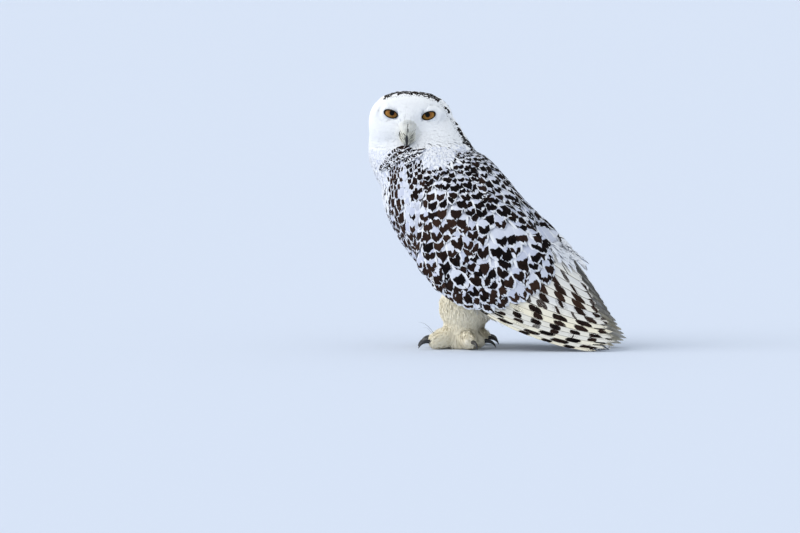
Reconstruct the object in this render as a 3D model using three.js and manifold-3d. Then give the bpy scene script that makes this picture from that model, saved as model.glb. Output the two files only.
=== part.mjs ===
// Snowy owl, life size, standing at rest with its wings folded and its head turned to its left.
// Millimetres. The bird faces -Y, its left side is +X, up is +Z, and it stands on the plane Z = 0.
import * as THREE from "three";
import { mergeVertices } from "three/addons/utils/BufferGeometryUtils.js";
import Module from "manifold-3d";

const wasm = await Module();
wasm.setup();

// ---------- driving sizes ----------

const GAP = 0.3; // clearance between touching nodes
const DEG = Math.PI / 180;

// Stations of the trunk from the base of the neck to the rump: [x, y, z, half width, half depth].
const TRUNK = [
  [0, -98, 342, 54, 50],
  [0, -92, 314, 72, 72],
  [0, -80, 279, 86, 92],
  [0, -56, 239, 96, 101],
  [0, -27, 204, 102, 102],
  [0, 8, 169, 102, 98],
  [0, 46, 138, 95, 84],
  [0, 82, 112, 80, 66],
  [0, 112, 92, 60, 47],
  [0, 136, 76, 36, 28],
];
// Level stations of the neck from inside the trunk to inside the head.
const NECK = [
  [0, -38, 208, 68, 84],
  [0, -64, 250, 79, 94],
  [0, -84, 290, 76, 98],
  [0, -98, 320, 64, 92],
  [0, -107, 347, 53, 82],
  [0, -112, 372, 40, 72],
  [0, -114, 392, 30, 56],
];
// Planes between trunk and neck and between neck and head: a point [y, z] and the slope in degrees.
const NECK_BASE = { y: -90, z: 290, slope: 22 };
const NECK_TOP = { y: -112, z: 325, slope: 4 };

// The head, in its own frame: x to its right, y forward, z up.
const HEAD = {
  centre: new THREE.Vector3(0, -118, 369),
  turn: 100, // to the left of the body's forward line
  pitch: -3,
  roll: -2.5,
  halfWidth: 70,
  up: 52,
  down: 60,
  front: 52,
  back: 62,
  power: 2.35,
};
const EYE = {
  side: 32.5,
  forward: 30.5,
  up: 17,
  radius: 13.2,
  turnOut: 9,
  lid: 1.6,
  openWide: 11.6,
  openHigh: 8.8,
  slant: 0.38,
};
const BILL = { width: 6.4, depth: 8 };

// The side-view frame of the folded wing: s runs down the body's axis, n towards the back.
const WING_AXIS = { y: -58, z: 231, slope: 45 * DEG };
// Tables against s, every 60 mm from s = -80.
const TABLE = { start: -80, step: 60 };
const WING_SPAN = [84, 101, 112, 114, 111, 102, 88, 72, 60]; // widest half width
const WING_LEVEL = [8, 3, -4, -8, -8, -4, 6, 22, 40]; // n of the widest line
const WING_ROOF = [80, 96, 110, 118, 116, 98, 77, 50, 26]; // from the widest line to the back's middle
const WING_TUCK = 0.16; // how far the lower edge turns in

const FLIGHT = { count: 14, rows: 4, thick: 1.0, clear: 0.45, lift: 0, sunk: 3 };
const COVERTS = { count: 10, rows: 3, thick: 1.0, clear: 0.4, lift: 4.3, sunk: 9 };
const TAIL = { long: 168, wide: 13, thick: 1.0, clear: 0.4, slope: 46 * DEG, y: 104, z: 122 };

const LEGS = [
  { side: "left", x: 46, y: -20 },
  { side: "right", x: -46, y: -34 },
];
// Toes by their heading from straight ahead towards the bird's outer side, in degrees.
const TOES = [
  { heading: -8, long: 58, thick: 12 },
  { heading: 35, long: 56, thick: 12 },
  { heading: 128, long: 46, thick: 11 },
  { heading: 188, long: 38, thick: 10.5 },
];
const CLAW = { long: 25, thick: 3.8 };

// ---------- materials ----------

const material = (color, roughness) =>
  new THREE.MeshStandardMaterial({ color, roughness, metalness: 0 });
const WHITE_PLUMAGE = material(0xf3f3f1, 0.9);
const SPOTTED_PLUMAGE = material(0xc9c4bf, 0.85);
const LEG_PLUMAGE = material(0xe6dcc2, 0.9);
const HORN = material(0x17161a, 0.4);
const IRIS = material(0xd98a1e, 0.12);

// ---------- solids ----------

function solidOf(geometry) {
  for (const name of Object.keys(geometry.attributes)) {
    if (name !== "position") geometry.deleteAttribute(name);
  }
  const merged = mergeVertices(geometry, 1e-4);
  const vertProperties = new Float32Array(merged.attributes.position.array);
  const triVerts = new Uint32Array(merged.index.array);
  const build = () => new wasm.Manifold(new wasm.Mesh({ numProp: 3, vertProperties, triVerts }));
  const made = build();
  if (made.volume() > 0) return made;
  triVerts.reverse();
  return build();
}

function geometryOf(solid) {
  const { numProp, numVert, vertProperties, triVerts } = solid.getMesh();
  const places = new Float32Array(numVert * 3);
  for (let i = 0; i < numVert; i++) {
    places.set(vertProperties.subarray(i * numProp, i * numProp + 3), i * 3);
  }
  return new THREE.BufferGeometry()
    .setAttribute("position", new THREE.BufferAttribute(places, 3))
    .setIndex(new THREE.BufferAttribute(new Uint32Array(triVerts), 1));
}

const joined = (solids) => solids.reduce((all, one) => all.add(one));

function largest(solid) {
  return solid.decompose().reduce((best, one) => (one.volume() > best.volume() ? one : best));
}

// A sphere whose points are moved by place(point).
function ball(columns, rows, place) {
  const geometry = new THREE.SphereGeometry(1, columns, rows);
  const positions = geometry.attributes.position;
  const point = new THREE.Vector3();
  for (let i = 0; i < positions.count; i++) {
    place(point.fromBufferAttribute(positions, i));
    positions.setXYZ(i, point.x, point.y, point.z);
  }
  return solidOf(geometry);
}

// A round-ended body of elliptical sections along stations of [x, y, z, half width, half depth].
function loft(stations, { columns = 20, rows = 12, cap = 0.14, grow = 0, side = [1, 0, 0], level } = {}) {
  const line = new THREE.CatmullRomCurve3(stations.map((s) => new THREE.Vector3(s[0], s[1], s[2])));
  const sizes = new THREE.CatmullRomCurve3(stations.map((s) => new THREE.Vector3(s[3], s[4], 0)));
  return ball(columns, rows, (p) => {
    const t = (1 - p.y) / 2;
    const end = Math.min(t, 1 - t);
    const rim = Math.sqrt(Math.max(0, 1 - Math.max(0, 1 - end / cap) ** 2));
    const angle = Math.atan2(p.z, p.x);
    const along = line.getTangent(t);
    const across = new THREE.Vector3(...side);
    across.addScaledVector(along, -across.dot(along)).normalize();
    const deep = level ? new THREE.Vector3(0, -1, 0) : new THREE.Vector3().crossVectors(along, across);
    const size = sizes.getPoint(t);
    p.copy(line.getPoint(t))
      .addScaledVector(along, grow * (2 * t - 1))
      .addScaledVector(across, (size.x * rim + grow) * Math.cos(angle))
      .addScaledVector(deep, (size.y * rim + grow) * Math.sin(angle));
    if (Math.abs(t - 0.5) > 0.4999) p.copy(line.getPoint(t)).addScaledVector(along, grow * (2 * t - 1));
  });
}

// A closed sheet of columns by rows cells, split alike on both faces. place(u, v, face) gives its points,
// with u and v from 0 to 1 and face 1 outside or -1 inside.
function sheet(columns, rows, place) {
  const places = [];
  const faces = [];
  const at = (face, i, j) => (face > 0 ? 0 : (columns + 1) * (rows + 1)) + j * (columns + 1) + i;
  for (const face of [1, -1]) {
    for (let j = 0; j <= rows; j++) {
      for (let i = 0; i <= columns; i++) places.push(...place(i / columns, j / rows, face).toArray());
    }
  }
  for (let j = 0; j < rows; j++) {
    for (let i = 0; i < columns; i++) {
      const corner = [[i, j], [i + 1, j], [i + 1, j + 1], [i, j + 1]];
      const [a, b, c, d] = corner.map(([x, y]) => at(1, x, y));
      const [e, f, g, h] = corner.map(([x, y]) => at(-1, x, y));
      faces.push(a, b, c, a, c, d, e, g, f, e, h, g);
    }
  }
  const wall = (i, j, k, l) => {
    faces.push(at(1, i, j), at(-1, i, j), at(-1, k, l), at(1, i, j), at(-1, k, l), at(1, k, l));
  };
  for (let i = 0; i < columns; i++) {
    wall(i, 0, i + 1, 0);
    wall(i + 1, rows, i, rows);
  }
  for (let j = 0; j < rows; j++) {
    wall(0, j + 1, 0, j);
    wall(columns, j, columns, j + 1);
  }
  const geometry = new THREE.BufferGeometry();
  geometry.setAttribute("position", new THREE.Float32BufferAttribute(places, 3));
  geometry.setIndex(faces);
  return solidOf(geometry);
}

const lerp = THREE.MathUtils.lerp;

// A smooth curve through values a fixed step apart.
function smoothTable(values, start, step) {
  const curve = new THREE.SplineCurve(values.map((v, i) => new THREE.Vector2(i, v)));
  const last = values.length - 1;
  return (s) => curve.getPoint(THREE.MathUtils.clamp((s - start) / step / last, 0, 1)).y;
}

// ---------- trunk, neck and head ----------

const headTurn = new THREE.Matrix4()
  .makeTranslation(HEAD.centre)
  .multiply(new THREE.Matrix4().makeRotationZ((HEAD.turn + 180) * DEG))
  .multiply(new THREE.Matrix4().makeRotationX(HEAD.pitch * DEG))
  .multiply(new THREE.Matrix4().makeRotationY(HEAD.roll * DEG));

// Hills and hollows of the face, forward of the plain head, at x and z in the head's frame.
function faceRelief(x, z) {
  const side = Math.abs(x);
  const hill = (dx, dz, wx, wz) => Math.exp(-(dx * dx) / (2 * wx * wx) - (dz * dz) / (2 * wz * wz));
  const bristles = 9 * hill(x, z + 9, 11, 11);
  const bridge = 4 * hill(x, z - 8, 9, 14);
  const hollow = -6 * hill(side - EYE.side, z - EYE.up, 13, 9);
  const brow = 3.6 * hill(side - 27, z - (21 + 0.28 * (side - 27)), 17, 4.5);
  const cheek = 2.5 * hill(side - 40, z + 24, 16, 15);
  return bristles + bridge + hollow + brow + cheek;
}

function headForm(grow = 0) {
  return ball(34, 24, (p) => {
    const round = Math.atan2(p.x, -p.z);
    const crowded = round - 0.45 * Math.sin(round);
    const level = Math.hypot(p.x, p.z);
    const [x, y, z] = [level * Math.sin(crowded), level * Math.cos(crowded), p.y];
    const power = HEAD.power;
    const k = (Math.abs(x) ** power + Math.abs(y) ** power + Math.abs(z) ** power) ** (-1 / power);
    p.set(
      k * x * (HEAD.halfWidth + grow),
      k * y * ((y > 0 ? HEAD.front : HEAD.back) + grow),
      k * z * ((z > 0 ? HEAD.up : HEAD.down) + grow),
    );
    const facing = THREE.MathUtils.smoothstep(y, 0.1, 0.6);
    p.y += facing * faceRelief(p.x, p.z);
    p.applyMatrix4(headTurn);
  });
}

const trunk = (grow = 0) => loft(TRUNK, { columns: 30, rows: 22, cap: 0.1, grow });
const neck = (grow = 0) => loft(NECK, { columns: 24, rows: 11, cap: 0.12, level: true, grow });

// The part of a solid above (keep 1) or below (keep -1) a sloping plane moved up by lift.
function sidePart(solid, { y, z, slope }, keep, lift) {
  const up = new THREE.Vector3(0, -Math.sin(slope * DEG), Math.cos(slope * DEG));
  const offset = up.dot(new THREE.Vector3(0, y, z)) + lift;
  return solid.trimByPlane(up.multiplyScalar(keep).toArray(), keep * offset);
}

const eyeFrames = [1, -1].map((side) =>
  headTurn
    .clone()
    .multiply(new THREE.Matrix4().makeTranslation(side * EYE.side, EYE.forward, EYE.up))
    .multiply(new THREE.Matrix4().makeRotationZ(-side * EYE.turnOut * DEG)),
);

const eyeBall = (frame, radius, columns, rows) =>
  ball(columns, rows, (p) => p.multiplyScalar(radius).applyMatrix4(frame));

// The lids' opening: an oval whose upper edge slants down towards the bill, swept forward out of the eye.
function lidOpening(frame, side) {
  const points = [];
  const corners = 16;
  for (let i = 0; i < corners; i++) {
    const angle = (i / corners) * 2 * Math.PI;
    const across = EYE.openWide * Math.cos(angle);
    const slant = 6.8 + EYE.slant * across;
    points.push(new THREE.Vector2(side * across, Math.min(EYE.openHigh * Math.sin(angle), slant)));
  }
  const sweep = new THREE.ExtrudeGeometry(new THREE.Shape(points), { depth: 30, bevelEnabled: false });
  sweep.applyMatrix4(new THREE.Matrix4().makeRotationX(-90 * DEG));
  sweep.applyMatrix4(frame.clone().multiply(new THREE.Matrix4().makeScale(1, 1, -1)));
  return solidOf(sweep);
}

// The bill's two halves in the head's frame: stations of [x, y, z, half width, half depth].
const upperBill = (grow = 0) =>
  loft(
    [
      [0, 44, 2, BILL.width, 7],
      [0, 56, -6, BILL.width, BILL.depth],
      [0, 62, -15, 5.4, 6.6],
      [0, 63, -25, 3.6, 4.4],
      [0, 60.5, -34, 1.2, 1.4],
    ],
    { columns: 10, rows: 9, cap: 0.12, grow },
  );
const lowerBill = (grow = 0) =>
  loft(
    [
      [0, 42, -16, 4.8, 4],
      [0, 51, -22, 4.4, 4],
      [0, 57.5, -30, 2.6, 2.6],
    ],
    { columns: 8, rows: 6, cap: 0.25, grow },
  );
const inHead = (solid) => solid.transform(headTurn.elements);
const billRoom = () => inHead(upperBill(GAP).add(lowerBill(GAP)));
const whole = joined([trunk(), neck(), headForm()]).subtract(billRoom());
const nostrils = [1, -1].map((side) =>
  ball(6, 4, (p) => p.set(side * 6.2 + 2.2 * p.x, 59 + 2.4 * p.y, -7 + 1.7 * p.z)),
);

function headNode() {
  let head = sidePart(whole, NECK_TOP, 1, GAP / 2);
  eyeFrames.forEach((frame, i) => {
    head = head
      .add(eyeBall(frame, EYE.radius + GAP + EYE.lid, 14, 10))
      .subtract(eyeBall(frame, EYE.radius + GAP, 16, 10))
      .subtract(lidOpening(frame, i ? -1 : 1));
  });
  return largest(head);
}

// ---------- wings ----------

const span = smoothTable(WING_SPAN, TABLE.start, TABLE.step);
const level = smoothTable(WING_LEVEL, TABLE.start, TABLE.step);
const roof = smoothTable(WING_ROOF, TABLE.start, TABLE.step);

// How far out from the middle plane the folded wing's surface lies, at y and z in the side view.
function wingOut(y, z) {
  const dy = y - WING_AXIS.y;
  const dz = z - WING_AXIS.z;
  const s = dy * Math.cos(WING_AXIS.slope) - dz * Math.sin(WING_AXIS.slope);
  const n = dy * Math.sin(WING_AXIS.slope) + dz * Math.cos(WING_AXIS.slope);
  const over = (n - level(s)) / roof(s);
  if (over <= 0) return span(s) * (1 - (WING_TUCK * ((level(s) - n) / 100) ** 2));
  return span(s) * Math.sqrt(Math.max(0.03, 1 - over * over));
}

// A point of the wing's surface, raised by height along its normal.
function onWing(side, y, z, height) {
  const d = 2;
  const slopeY = (wingOut(y + d, z) - wingOut(y - d, z)) / (2 * d);
  const slopeZ = (wingOut(y, z + d) - wingOut(y, z - d)) / (2 * d);
  const normal = new THREE.Vector3(1, -slopeY, -slopeZ).normalize();
  const p = new THREE.Vector3(wingOut(y, z), y, z).addScaledVector(normal, height);
  return p.set(side * p.x, p.y, p.z);
}

// The arm and hand under their coverts, between a lower and an upper edge in the side view.
const CORE_LOWER = [[-88, 165], [-82, 128], [-46, 97], [-5, 72], [40, 50], [84, 34]];
const CORE_UPPER = [[-72, 266], [-30, 301], [14, 290], [64, 252], [106, 212], [134, 166]];
const flat = (points) => new THREE.SplineCurve(points.map(([y, z]) => new THREE.Vector2(y, z)));

function wingCore(side) {
  const low = flat(CORE_LOWER);
  const high = flat(CORE_UPPER);
  return sheet(8, 8, (u, v, face) => {
    const place = low.getPoint(v).lerp(high.getPoint(v), u);
    const rise = 13 * Math.sqrt(Math.sin(Math.PI * u) * Math.sin(Math.PI * Math.min(1, v + 0.02)));
    const height = face > 0 ? rise - 7.5 : -lerp(38, 9, v * v);
    return onWing(side, place.x, place.y, height);
  });
}

// Where the feathers root and end in the side view, from the fan's inner edge to its outer one.
const FAN = {
  roots: flat([[68, 234], [62, 174], [45, 116], [20, 82], [-16, 92]]),
  tips: flat([[174, 128], [204, 80], [226, 44], [240, 16], [206, -2]]),
  sag: (share) => lerp(4, 28, share * share),
};
const COVERT_FAN = {
  roots: flat([[60, 232], [64, 186], [44, 132], [6, 104], [-32, 116]]),
  tips: flat([[146, 170], [154, 116], [132, 74], [96, 48], [42, 50]]),
  sag: (share) => lerp(2, 8, share),
};

function fanPoint({ roots, tips, sag }, share, t) {
  const root = roots.getPoint(share);
  const tip = tips.getPoint(share);
  const along = tip.clone().sub(root).normalize();
  const middle = root.clone().lerp(tip, 0.5);
  middle.add(new THREE.Vector2(along.y, -along.x).multiplyScalar(sag(share)));
  return new THREE.QuadraticBezierCurve(root, middle, tip).getPoint(t);
}

// How wide a feather is along its length, of its widest.
const vaneShape = (v, round) => Math.max(0.32, Math.sqrt(1 - Math.max(0, (v - round) / (1 - round)) ** 2));

// One feather of a fan, two places wide, so that it overlaps the next by half. Each lies under the one inward
// of it, tilted so that they stay clear of one another.
function fanVane(side, fan, { count, rows, thick, clear, lift, sunk }, index) {
  return sheet(2, rows, (u, v, face) => {
    const t = 1 - (1 - v) ** 1.6;
    const out = (2 * u - 1) * vaneShape(t, 0.72);
    const place = fanPoint(fan, (index + 1 + out) / (count + 1), t);
    const root = sunk * Math.max(0, 1 - t / 0.4) ** 2;
    const height = lift - root + (out - 1) * (thick + clear) + (face * thick) / 2;
    const spot = onWing(side, place.x, Math.max(place.y, 0), height);
    spot.z = Math.max(spot.z, 0);
    return spot;
  });
}

function wingNode(side) {
  let wing = wingCore(side);
  for (let i = 0; i < FLIGHT.count; i++) wing = wing.add(fanVane(side, FAN, FLIGHT, i));
  for (let i = 0; i < COVERTS.count; i++) wing = wing.add(fanVane(side, COVERT_FAN, COVERTS, i));
  const rooms = [trunk(GAP), neck(GAP), ...LEGS.map((leg) => legForm(leg, GAP))];
  return largest(rooms.reduce((left, room) => left.subtract(room), wing));
}

// ---------- tail ----------

// A point of the tail: x across, s along it and n above it.
const onTail = (x, s, n) =>
  new THREE.Vector3(
    x,
    TAIL.y + s * Math.cos(TAIL.slope) + n * Math.sin(TAIL.slope),
    Math.max(0.5, TAIL.z - s * Math.sin(TAIL.slope) + n * Math.cos(TAIL.slope)),
  );

function tailVane(side, pair) {
  const long = TAIL.long - 2.5 * pair;
  const depth = pair === 0 ? (side > 0 ? 0 : 1) : pair + 1;
  return sheet(2, 4, (u, v, face) => {
    const half = TAIL.wide * vaneShape(v, 0.8);
    const middle = side * lerp(pair ? 8 + 3 * pair : 2, 6 + 7.6 * pair, v);
    const x = middle + (2 * u - 1) * half;
    const n = -depth * (TAIL.thick + TAIL.clear) - 0.0016 * x * x + (face * TAIL.thick) / 2;
    return onTail(x, long * v, n);
  });
}

function tailNode() {
  const stations = [[10, -4, 44, 20], [44, -4, 36, 15], [78, -4.5, 26, 7]];
  const base = loft(
    stations.map(([s, n, wide, deep]) => [...onTail(0, s, n).toArray(), wide, deep]),
    { columns: 12, rows: 7, cap: 0.25 },
  );
  let tail = base;
  for (let pair = 5; pair >= 0; pair--) tail = tail.add(tailVane(1, pair)).add(tailVane(-1, pair));
  return largest(tail.subtract(trunk(GAP)));
}

// ---------- legs ----------

function legForm({ x, y }, grow = 0) {
  const out = Math.sign(x);
  return loft(
    [
      [x - out * 4, y + 18, 112, 34, 42],
      [x - out * 2, y + 10, 82, 37, 45],
      [x, y + 3, 56, 33, 40],
      [x, y, 36, 25, 30],
    ],
    { columns: 16, rows: 8, cap: 0.2, grow },
  );
}

// A toe's own frame: forward along +Y from the ankle, on the floor.
function toeFrame({ x, y }, { heading }) {
  return new THREE.Matrix4()
    .makeTranslation(x, y, 0)
    .multiply(new THREE.Matrix4().makeRotationZ(Math.PI + Math.sign(x) * heading * DEG));
}

const inFrame = (solid, frame) => solid.transform(frame.elements);

const toeForm = ({ long, thick }) =>
  loft(
    [
      [0, 4, 28, thick * 1.35, thick * 1.5],
      [0, long * 0.45, 19, thick * 1.2, thick * 1.35],
      [0, long * 0.8, 12.5, thick * 1.05, thick * 1.1],
      [0, long, 9, thick * 0.7, thick * 0.8],
    ],
    { columns: 8, rows: 6, cap: 0.22 },
  );

const clawForm = ({ long }, grow = 0) =>
  loft(
    [
      [0, long - 8, 12, CLAW.thick, CLAW.thick * 1.2],
      [0, long + CLAW.long * 0.3, 13.5, CLAW.thick * 0.9, CLAW.thick],
      [0, long + CLAW.long * 0.62, 9, CLAW.thick * 0.55, CLAW.thick * 0.6],
      [0, long + CLAW.long * 0.78, 1.4, 0.5, 0.5],
    ],
    { columns: 7, rows: 6, cap: 0.15, grow },
  );

function footNode(leg) {
  const { x, y } = leg;
  const shank = loft(
    [
      [x, y + 3, 62, 20, 22],
      [x, y, 36, 25, 29],
      [x, y - 1, 14, 24, 28],
      [x, y - 2, -6, 21, 24],
    ],
    { columns: 12, rows: 6, cap: 0.15 },
  );
  const toes = TOES.map((toe) => inFrame(toeForm(toe), toeFrame(leg, toe)));
  let foot = joined([shank, ...toes]).subtract(legForm(leg, GAP));
  for (const toe of TOES) foot = foot.subtract(inFrame(clawForm(toe, GAP), toeFrame(leg, toe)));
  return largest(foot.trimByPlane([0, 0, 1], 0));
}

// ---------- the nodes ----------

const owl = new THREE.Group();

function addNode(name, solid, look) {
  const mesh = new THREE.Mesh(geometryOf(solid), look);
  mesh.name = name;
  owl.add(mesh);
}

addNode("torso", largest(sidePart(whole, NECK_BASE, -1, -GAP / 2)), WHITE_PLUMAGE);
addNode(
  "neck",
  largest(sidePart(sidePart(whole, NECK_BASE, 1, GAP / 2), NECK_TOP, -1, -GAP / 2)),
  WHITE_PLUMAGE,
);
addNode("head", headNode(), WHITE_PLUMAGE);
addNode("bill_upper", inHead(upperBill().subtract(joined(nostrils))), HORN);
addNode("bill_lower", inHead(lowerBill().subtract(upperBill(GAP))), HORN);
eyeFrames.forEach((frame, i) => {
  addNode(i ? "eye_left" : "eye_right", eyeBall(frame, EYE.radius, 16, 10), IRIS);
});
addNode("wing_left", wingNode(1), SPOTTED_PLUMAGE);
addNode("wing_right", wingNode(-1), SPOTTED_PLUMAGE);
addNode("tail", tailNode(), SPOTTED_PLUMAGE);
for (const leg of LEGS) {
  addNode(`leg_${leg.side}`, largest(legForm(leg).subtract(trunk(GAP))), LEG_PLUMAGE);
  addNode(`foot_${leg.side}`, footNode(leg), LEG_PLUMAGE);
  TOES.forEach((toe, i) => {
    addNode(`claw_${leg.side}_${i + 1}`, inFrame(clawForm(toe), toeFrame(leg, toe)), HORN);
  });
}

const box = new THREE.Box3().setFromObject(owl);
owl.position.set(-(box.min.x + box.max.x) / 2, -(box.min.y + box.max.y) / 2, -box.min.z);

export default owl;
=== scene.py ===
import math

import bpy
import numpy as np
from bpy.props import FloatProperty, FloatVectorProperty, IntProperty, PointerProperty
from mathutils import Matrix, Vector
from mathutils.bvhtree import BVHTree
from mathutils.kdtree import KDTree


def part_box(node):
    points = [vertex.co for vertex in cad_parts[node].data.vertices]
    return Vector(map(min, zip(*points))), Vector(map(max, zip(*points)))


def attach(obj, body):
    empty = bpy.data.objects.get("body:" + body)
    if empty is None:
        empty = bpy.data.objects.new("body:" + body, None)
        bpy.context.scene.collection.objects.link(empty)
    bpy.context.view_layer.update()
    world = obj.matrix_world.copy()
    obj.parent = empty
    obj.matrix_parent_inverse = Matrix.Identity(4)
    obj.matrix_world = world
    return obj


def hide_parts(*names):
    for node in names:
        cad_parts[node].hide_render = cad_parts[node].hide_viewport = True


bl_info = {
    "name": "Snowy Owl",
    "version": (1, 0, 0),
    "blender": (4, 5, 0),
    "location": "View3D > Sidebar > Snowy Owl",
    "description": "Skin, plumage, eyes, bill and claws of a life-size snowy owl",
    "category": "Object",
}

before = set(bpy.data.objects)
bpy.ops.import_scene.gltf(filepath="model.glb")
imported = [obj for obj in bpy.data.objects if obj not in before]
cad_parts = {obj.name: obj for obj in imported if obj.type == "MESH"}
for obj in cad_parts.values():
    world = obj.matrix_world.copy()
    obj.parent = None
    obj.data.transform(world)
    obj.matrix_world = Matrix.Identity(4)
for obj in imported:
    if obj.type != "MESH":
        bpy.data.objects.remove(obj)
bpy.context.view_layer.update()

# ---------- the bird's own measures, in millimetres ----------
# The bird faces -Y, its left side is +X, up is +Z.

DEG = math.pi / 180
made = {}  # what later pieces need of earlier ones: the coat's surface, the skin and its map
HEAD = {"centre": (0, -118, 369), "turn": 100, "pitch": -3, "roll": -2.5}
EYE = {"side": 32.5, "forward": 30.5, "up": 17, "radius": 13.2, "turn_out": 9, "toe_in": 13.5,
       "wide": 11.8, "high": 7.4, "top": 6.2, "inset": 1.3, "drop": 0.9, "tilt": 18}
SIGHT = np.array([0.9646, 0.2585, 0.0523])  # the line that both eyes look along
UPPER_BILL = [(0, 44, 2, 6.4, 7), (0, 56, -6, 6.4, 8), (0, 62, -15, 5.4, 6.6), (0, 63, -25, 3.6, 4.4),
              (0, 60.5, -34, 1.2, 1.4)]
LOWER_BILL = [(0, 42, -16, 4.8, 4), (0, 51, -22, 4.4, 4), (0, 57.5, -30, 2.6, 2.6)]
WING_AXIS = {"y": -58, "z": 231, "slope": 45 * DEG}
# The folded wing's sections at even places along its axis: how far out it reaches, where it is widest and
# how high it rises over that.
TABLE = {"start": -80, "step": 60}
WING_SPAN = [84, 101, 112, 114, 111, 102, 88, 72, 60]
WING_LEVEL = [8, 3, -4, -8, -8, -4, 6, 22, 40]
WING_ROOF = [80, 96, 110, 118, 116, 98, 77, 50, 26]
WING_TUCK = 0.16
SLAB = 24  # rows and columns of the slabs that make up a wing
# Side-view lines [y, z] of the arm's flesh, how far it swells and how deep it lies under the wing's surface.
CORE_LOWER = [(-88, 165), (-82, 128), (-46, 97), (-5, 72), (40, 50), (84, 34)]
CORE_UPPER = [(-72, 266), (-30, 301), (14, 290), (64, 252), (106, 212), (134, 166)]
CORE_RISE = 13
CORE_SUNK = 7.5
# Side-view lines [y, z] that the wing's feathers root on and reach to, from the back's side to the belly's.
FLIGHT_ROOTS = [(68, 234), (62, 174), (45, 116), (20, 82), (-16, 92)]
FLIGHT_TIPS = [(174, 128), (204, 80), (226, 44), (240, 16), (206, -2)]
WRIST_LINE = [(-24, 300), (-64, 268), (-90, 214), (-92, 162), (-84, 122)]
COVERT_TIPS = [(156, 160), (172, 104), (132, 68), (70, 58), (2, 66)]
# y of the line between the breast and the flank, at even steps between the two heights below.
BREAST_EDGE = [30, -30, -72, -92, -104, -112, -124]
BREAST_LOW, BREAST_HIGH = 60, 360
TAIL = {"long": 168, "slope": 46 * DEG, "y": 104, "z": 122, "pairs": 6, "half": 13.5}
LEGS = {"left": (46, -20), "right": (-46, -34)}
NECK_TOP = {"y": -112, "z": 325, "slope": 4 * DEG}
PATCH = 0.003  # size of one feather on the map of the skin
# The broadside view looks at the bird's side from a little behind and above: the parts of its direction,
# and the slope of the rays that are cast along it.
BROADSIDE = {"y": 0.966, "x": 0.259, "rise": 0.0523, "ray": 0.0524}
# Lines of dark-tipped feathers round the throat, as [along, up] of the broadside view.
COLLAR = [
    [(-162, 287), (-155, 300), (-148, 312), (-137, 320), (-122, 324)],
    [(-157, 290), (-147, 307), (-126, 315)],
    [(-150, 288), (-141, 301), (-130, 308)],
    [(-146, 300), (-136, 312), (-112, 320)],
    [(-129, 307), (-112, 317), (-92, 322)],
    [(-122, 299), (-106, 309), (-96, 314)],
]
# How far apart the body's marks lie at [along, up] of the broadside view.
SIZES = [
    (-41, 312, 10), (-16, 300, 13), (12, 259, 17), (-8, 275, 15), (33, 211, 23), (58, 177, 24),
    (66, 251, 16), (99, 193, 20), (-82, 259, 18), (-66, 226, 17), (-50, 201, 16), (-66, 160, 20),
    (-25, 176, 19), (0, 144, 18), (-82, 135, 18), (-41, 102, 17), (33, 127, 22), (99, 127, 20),
    (115, 94, 19), (-134, 259, 11), (-134, 193, 12), (-157, 275, 9), (-99, 323, 5), (-72, 284, 13),
    (-97, 287, 11), (-46, 290, 12), (-22, 322, 10), (132, 176, 16), (20, 80, 17), (60, 90, 19),
    (-68, 318, 5), (-35, 336, 6), (-65, 330, 4), (-100, 330, 4), (-140, 328, 4.5), (-175, 310, 5),
    (-170, 285, 6),
]
# How steeply feathers lie at [y, z] of the side view, in degrees below the level.
LIE = [
    (-130, 300, 80), (-140, 220, 86), (-90, 250, 88), (-60, 200, 84), (-60, 140, 66), (-10, 305, 72),
    (40, 285, 80), (0, 240, 86), (20, 200, 80), (70, 205, 80), (-30, 170, 66), (-10, 140, 50), (20, 110, 44),
    (55, 90, 42), (60, 150, 82), (90, 130, 76), (110, 80, 68), (140, 80, 66), (130, 130, 62), (110, 200, 58),
    (60, 260, 60), (160, 110, 60), (120, 110, 50), (-10, 60, 60),
]
# The bristles in the head's frame: how far aside, how high and how low they root, how low the lowest tip
# lies, and how far the dark ones stand off the bill.
BRISTLES = {"aside": 23, "top": 12, "bottom": -26, "tip": -33, "stand": 2.4}
# The dark hairs on the bill: x and height of both ends in the head's frame, and thickness.
DARK_HAIRS = [
    (7.4, -10.8, 0.6, -16.4, 0.7), (6.6, -11.5, 1.0, -17.0, 0.6), (14, -10.8, 11.5, -18.8, 0.55),
    (13, -9, 11.8, -17, 0.4), (-10, -12.4, -5, -18, 0.6), (-8, -22, -3.3, -26, 0.5), (-9, -17, -4, -22, 0.5),
    (-0.8, -3.7, -1.6, -11, 0.8), (-1.4, -5, -1.2, -12, 0.7), (9, -18, 4, -24, 0.5), (12, -20, 6, -26, 0.45),
    (-12, -20, -6, -25, 0.45), (5, -19, 1.5, -24, 0.5), (-5.5, -20, -2, -25, 0.5), (15, -14, 11, -22, 0.4),
]
# The bill's ridge in the head's frame: how far down, and how far forward.
RIDGE_DOWN = [-14, -8, -4, 0, 3, 7, 13, 19, 25, 30, 34, 40]
RIDGE_OUT = [45, 49.5, 56.5, 62.2, 64.8, 66.8, 68.6, 68.8, 67.8, 65.2, 62.2, 57]
# The loose hairs that stand off the front toe, from root to tip.
TOE_HAIRS = [((46, -70, 30), (47, -93, 44)), ((40, -72, 26), (41, -88, 34))]
CLAWS = 4  # on each foot
KEY_LIGHT = (0.52, -0.85, 0.66)  # towards the light
VIEW_MIDDLE = (-132, 133)  # what the camera looks at: right and up in the view's own plane


def turn_about(axis, degrees):
    return np.array(Matrix.Rotation(degrees * DEG, 4, axis))


HEAD_FRAME = (
    np.array(Matrix.Translation(HEAD["centre"]))
    @ turn_about("Z", HEAD["turn"] + 180)
    @ turn_about("X", HEAD["pitch"])
    @ turn_about("Y", HEAD["roll"])
)


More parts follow.
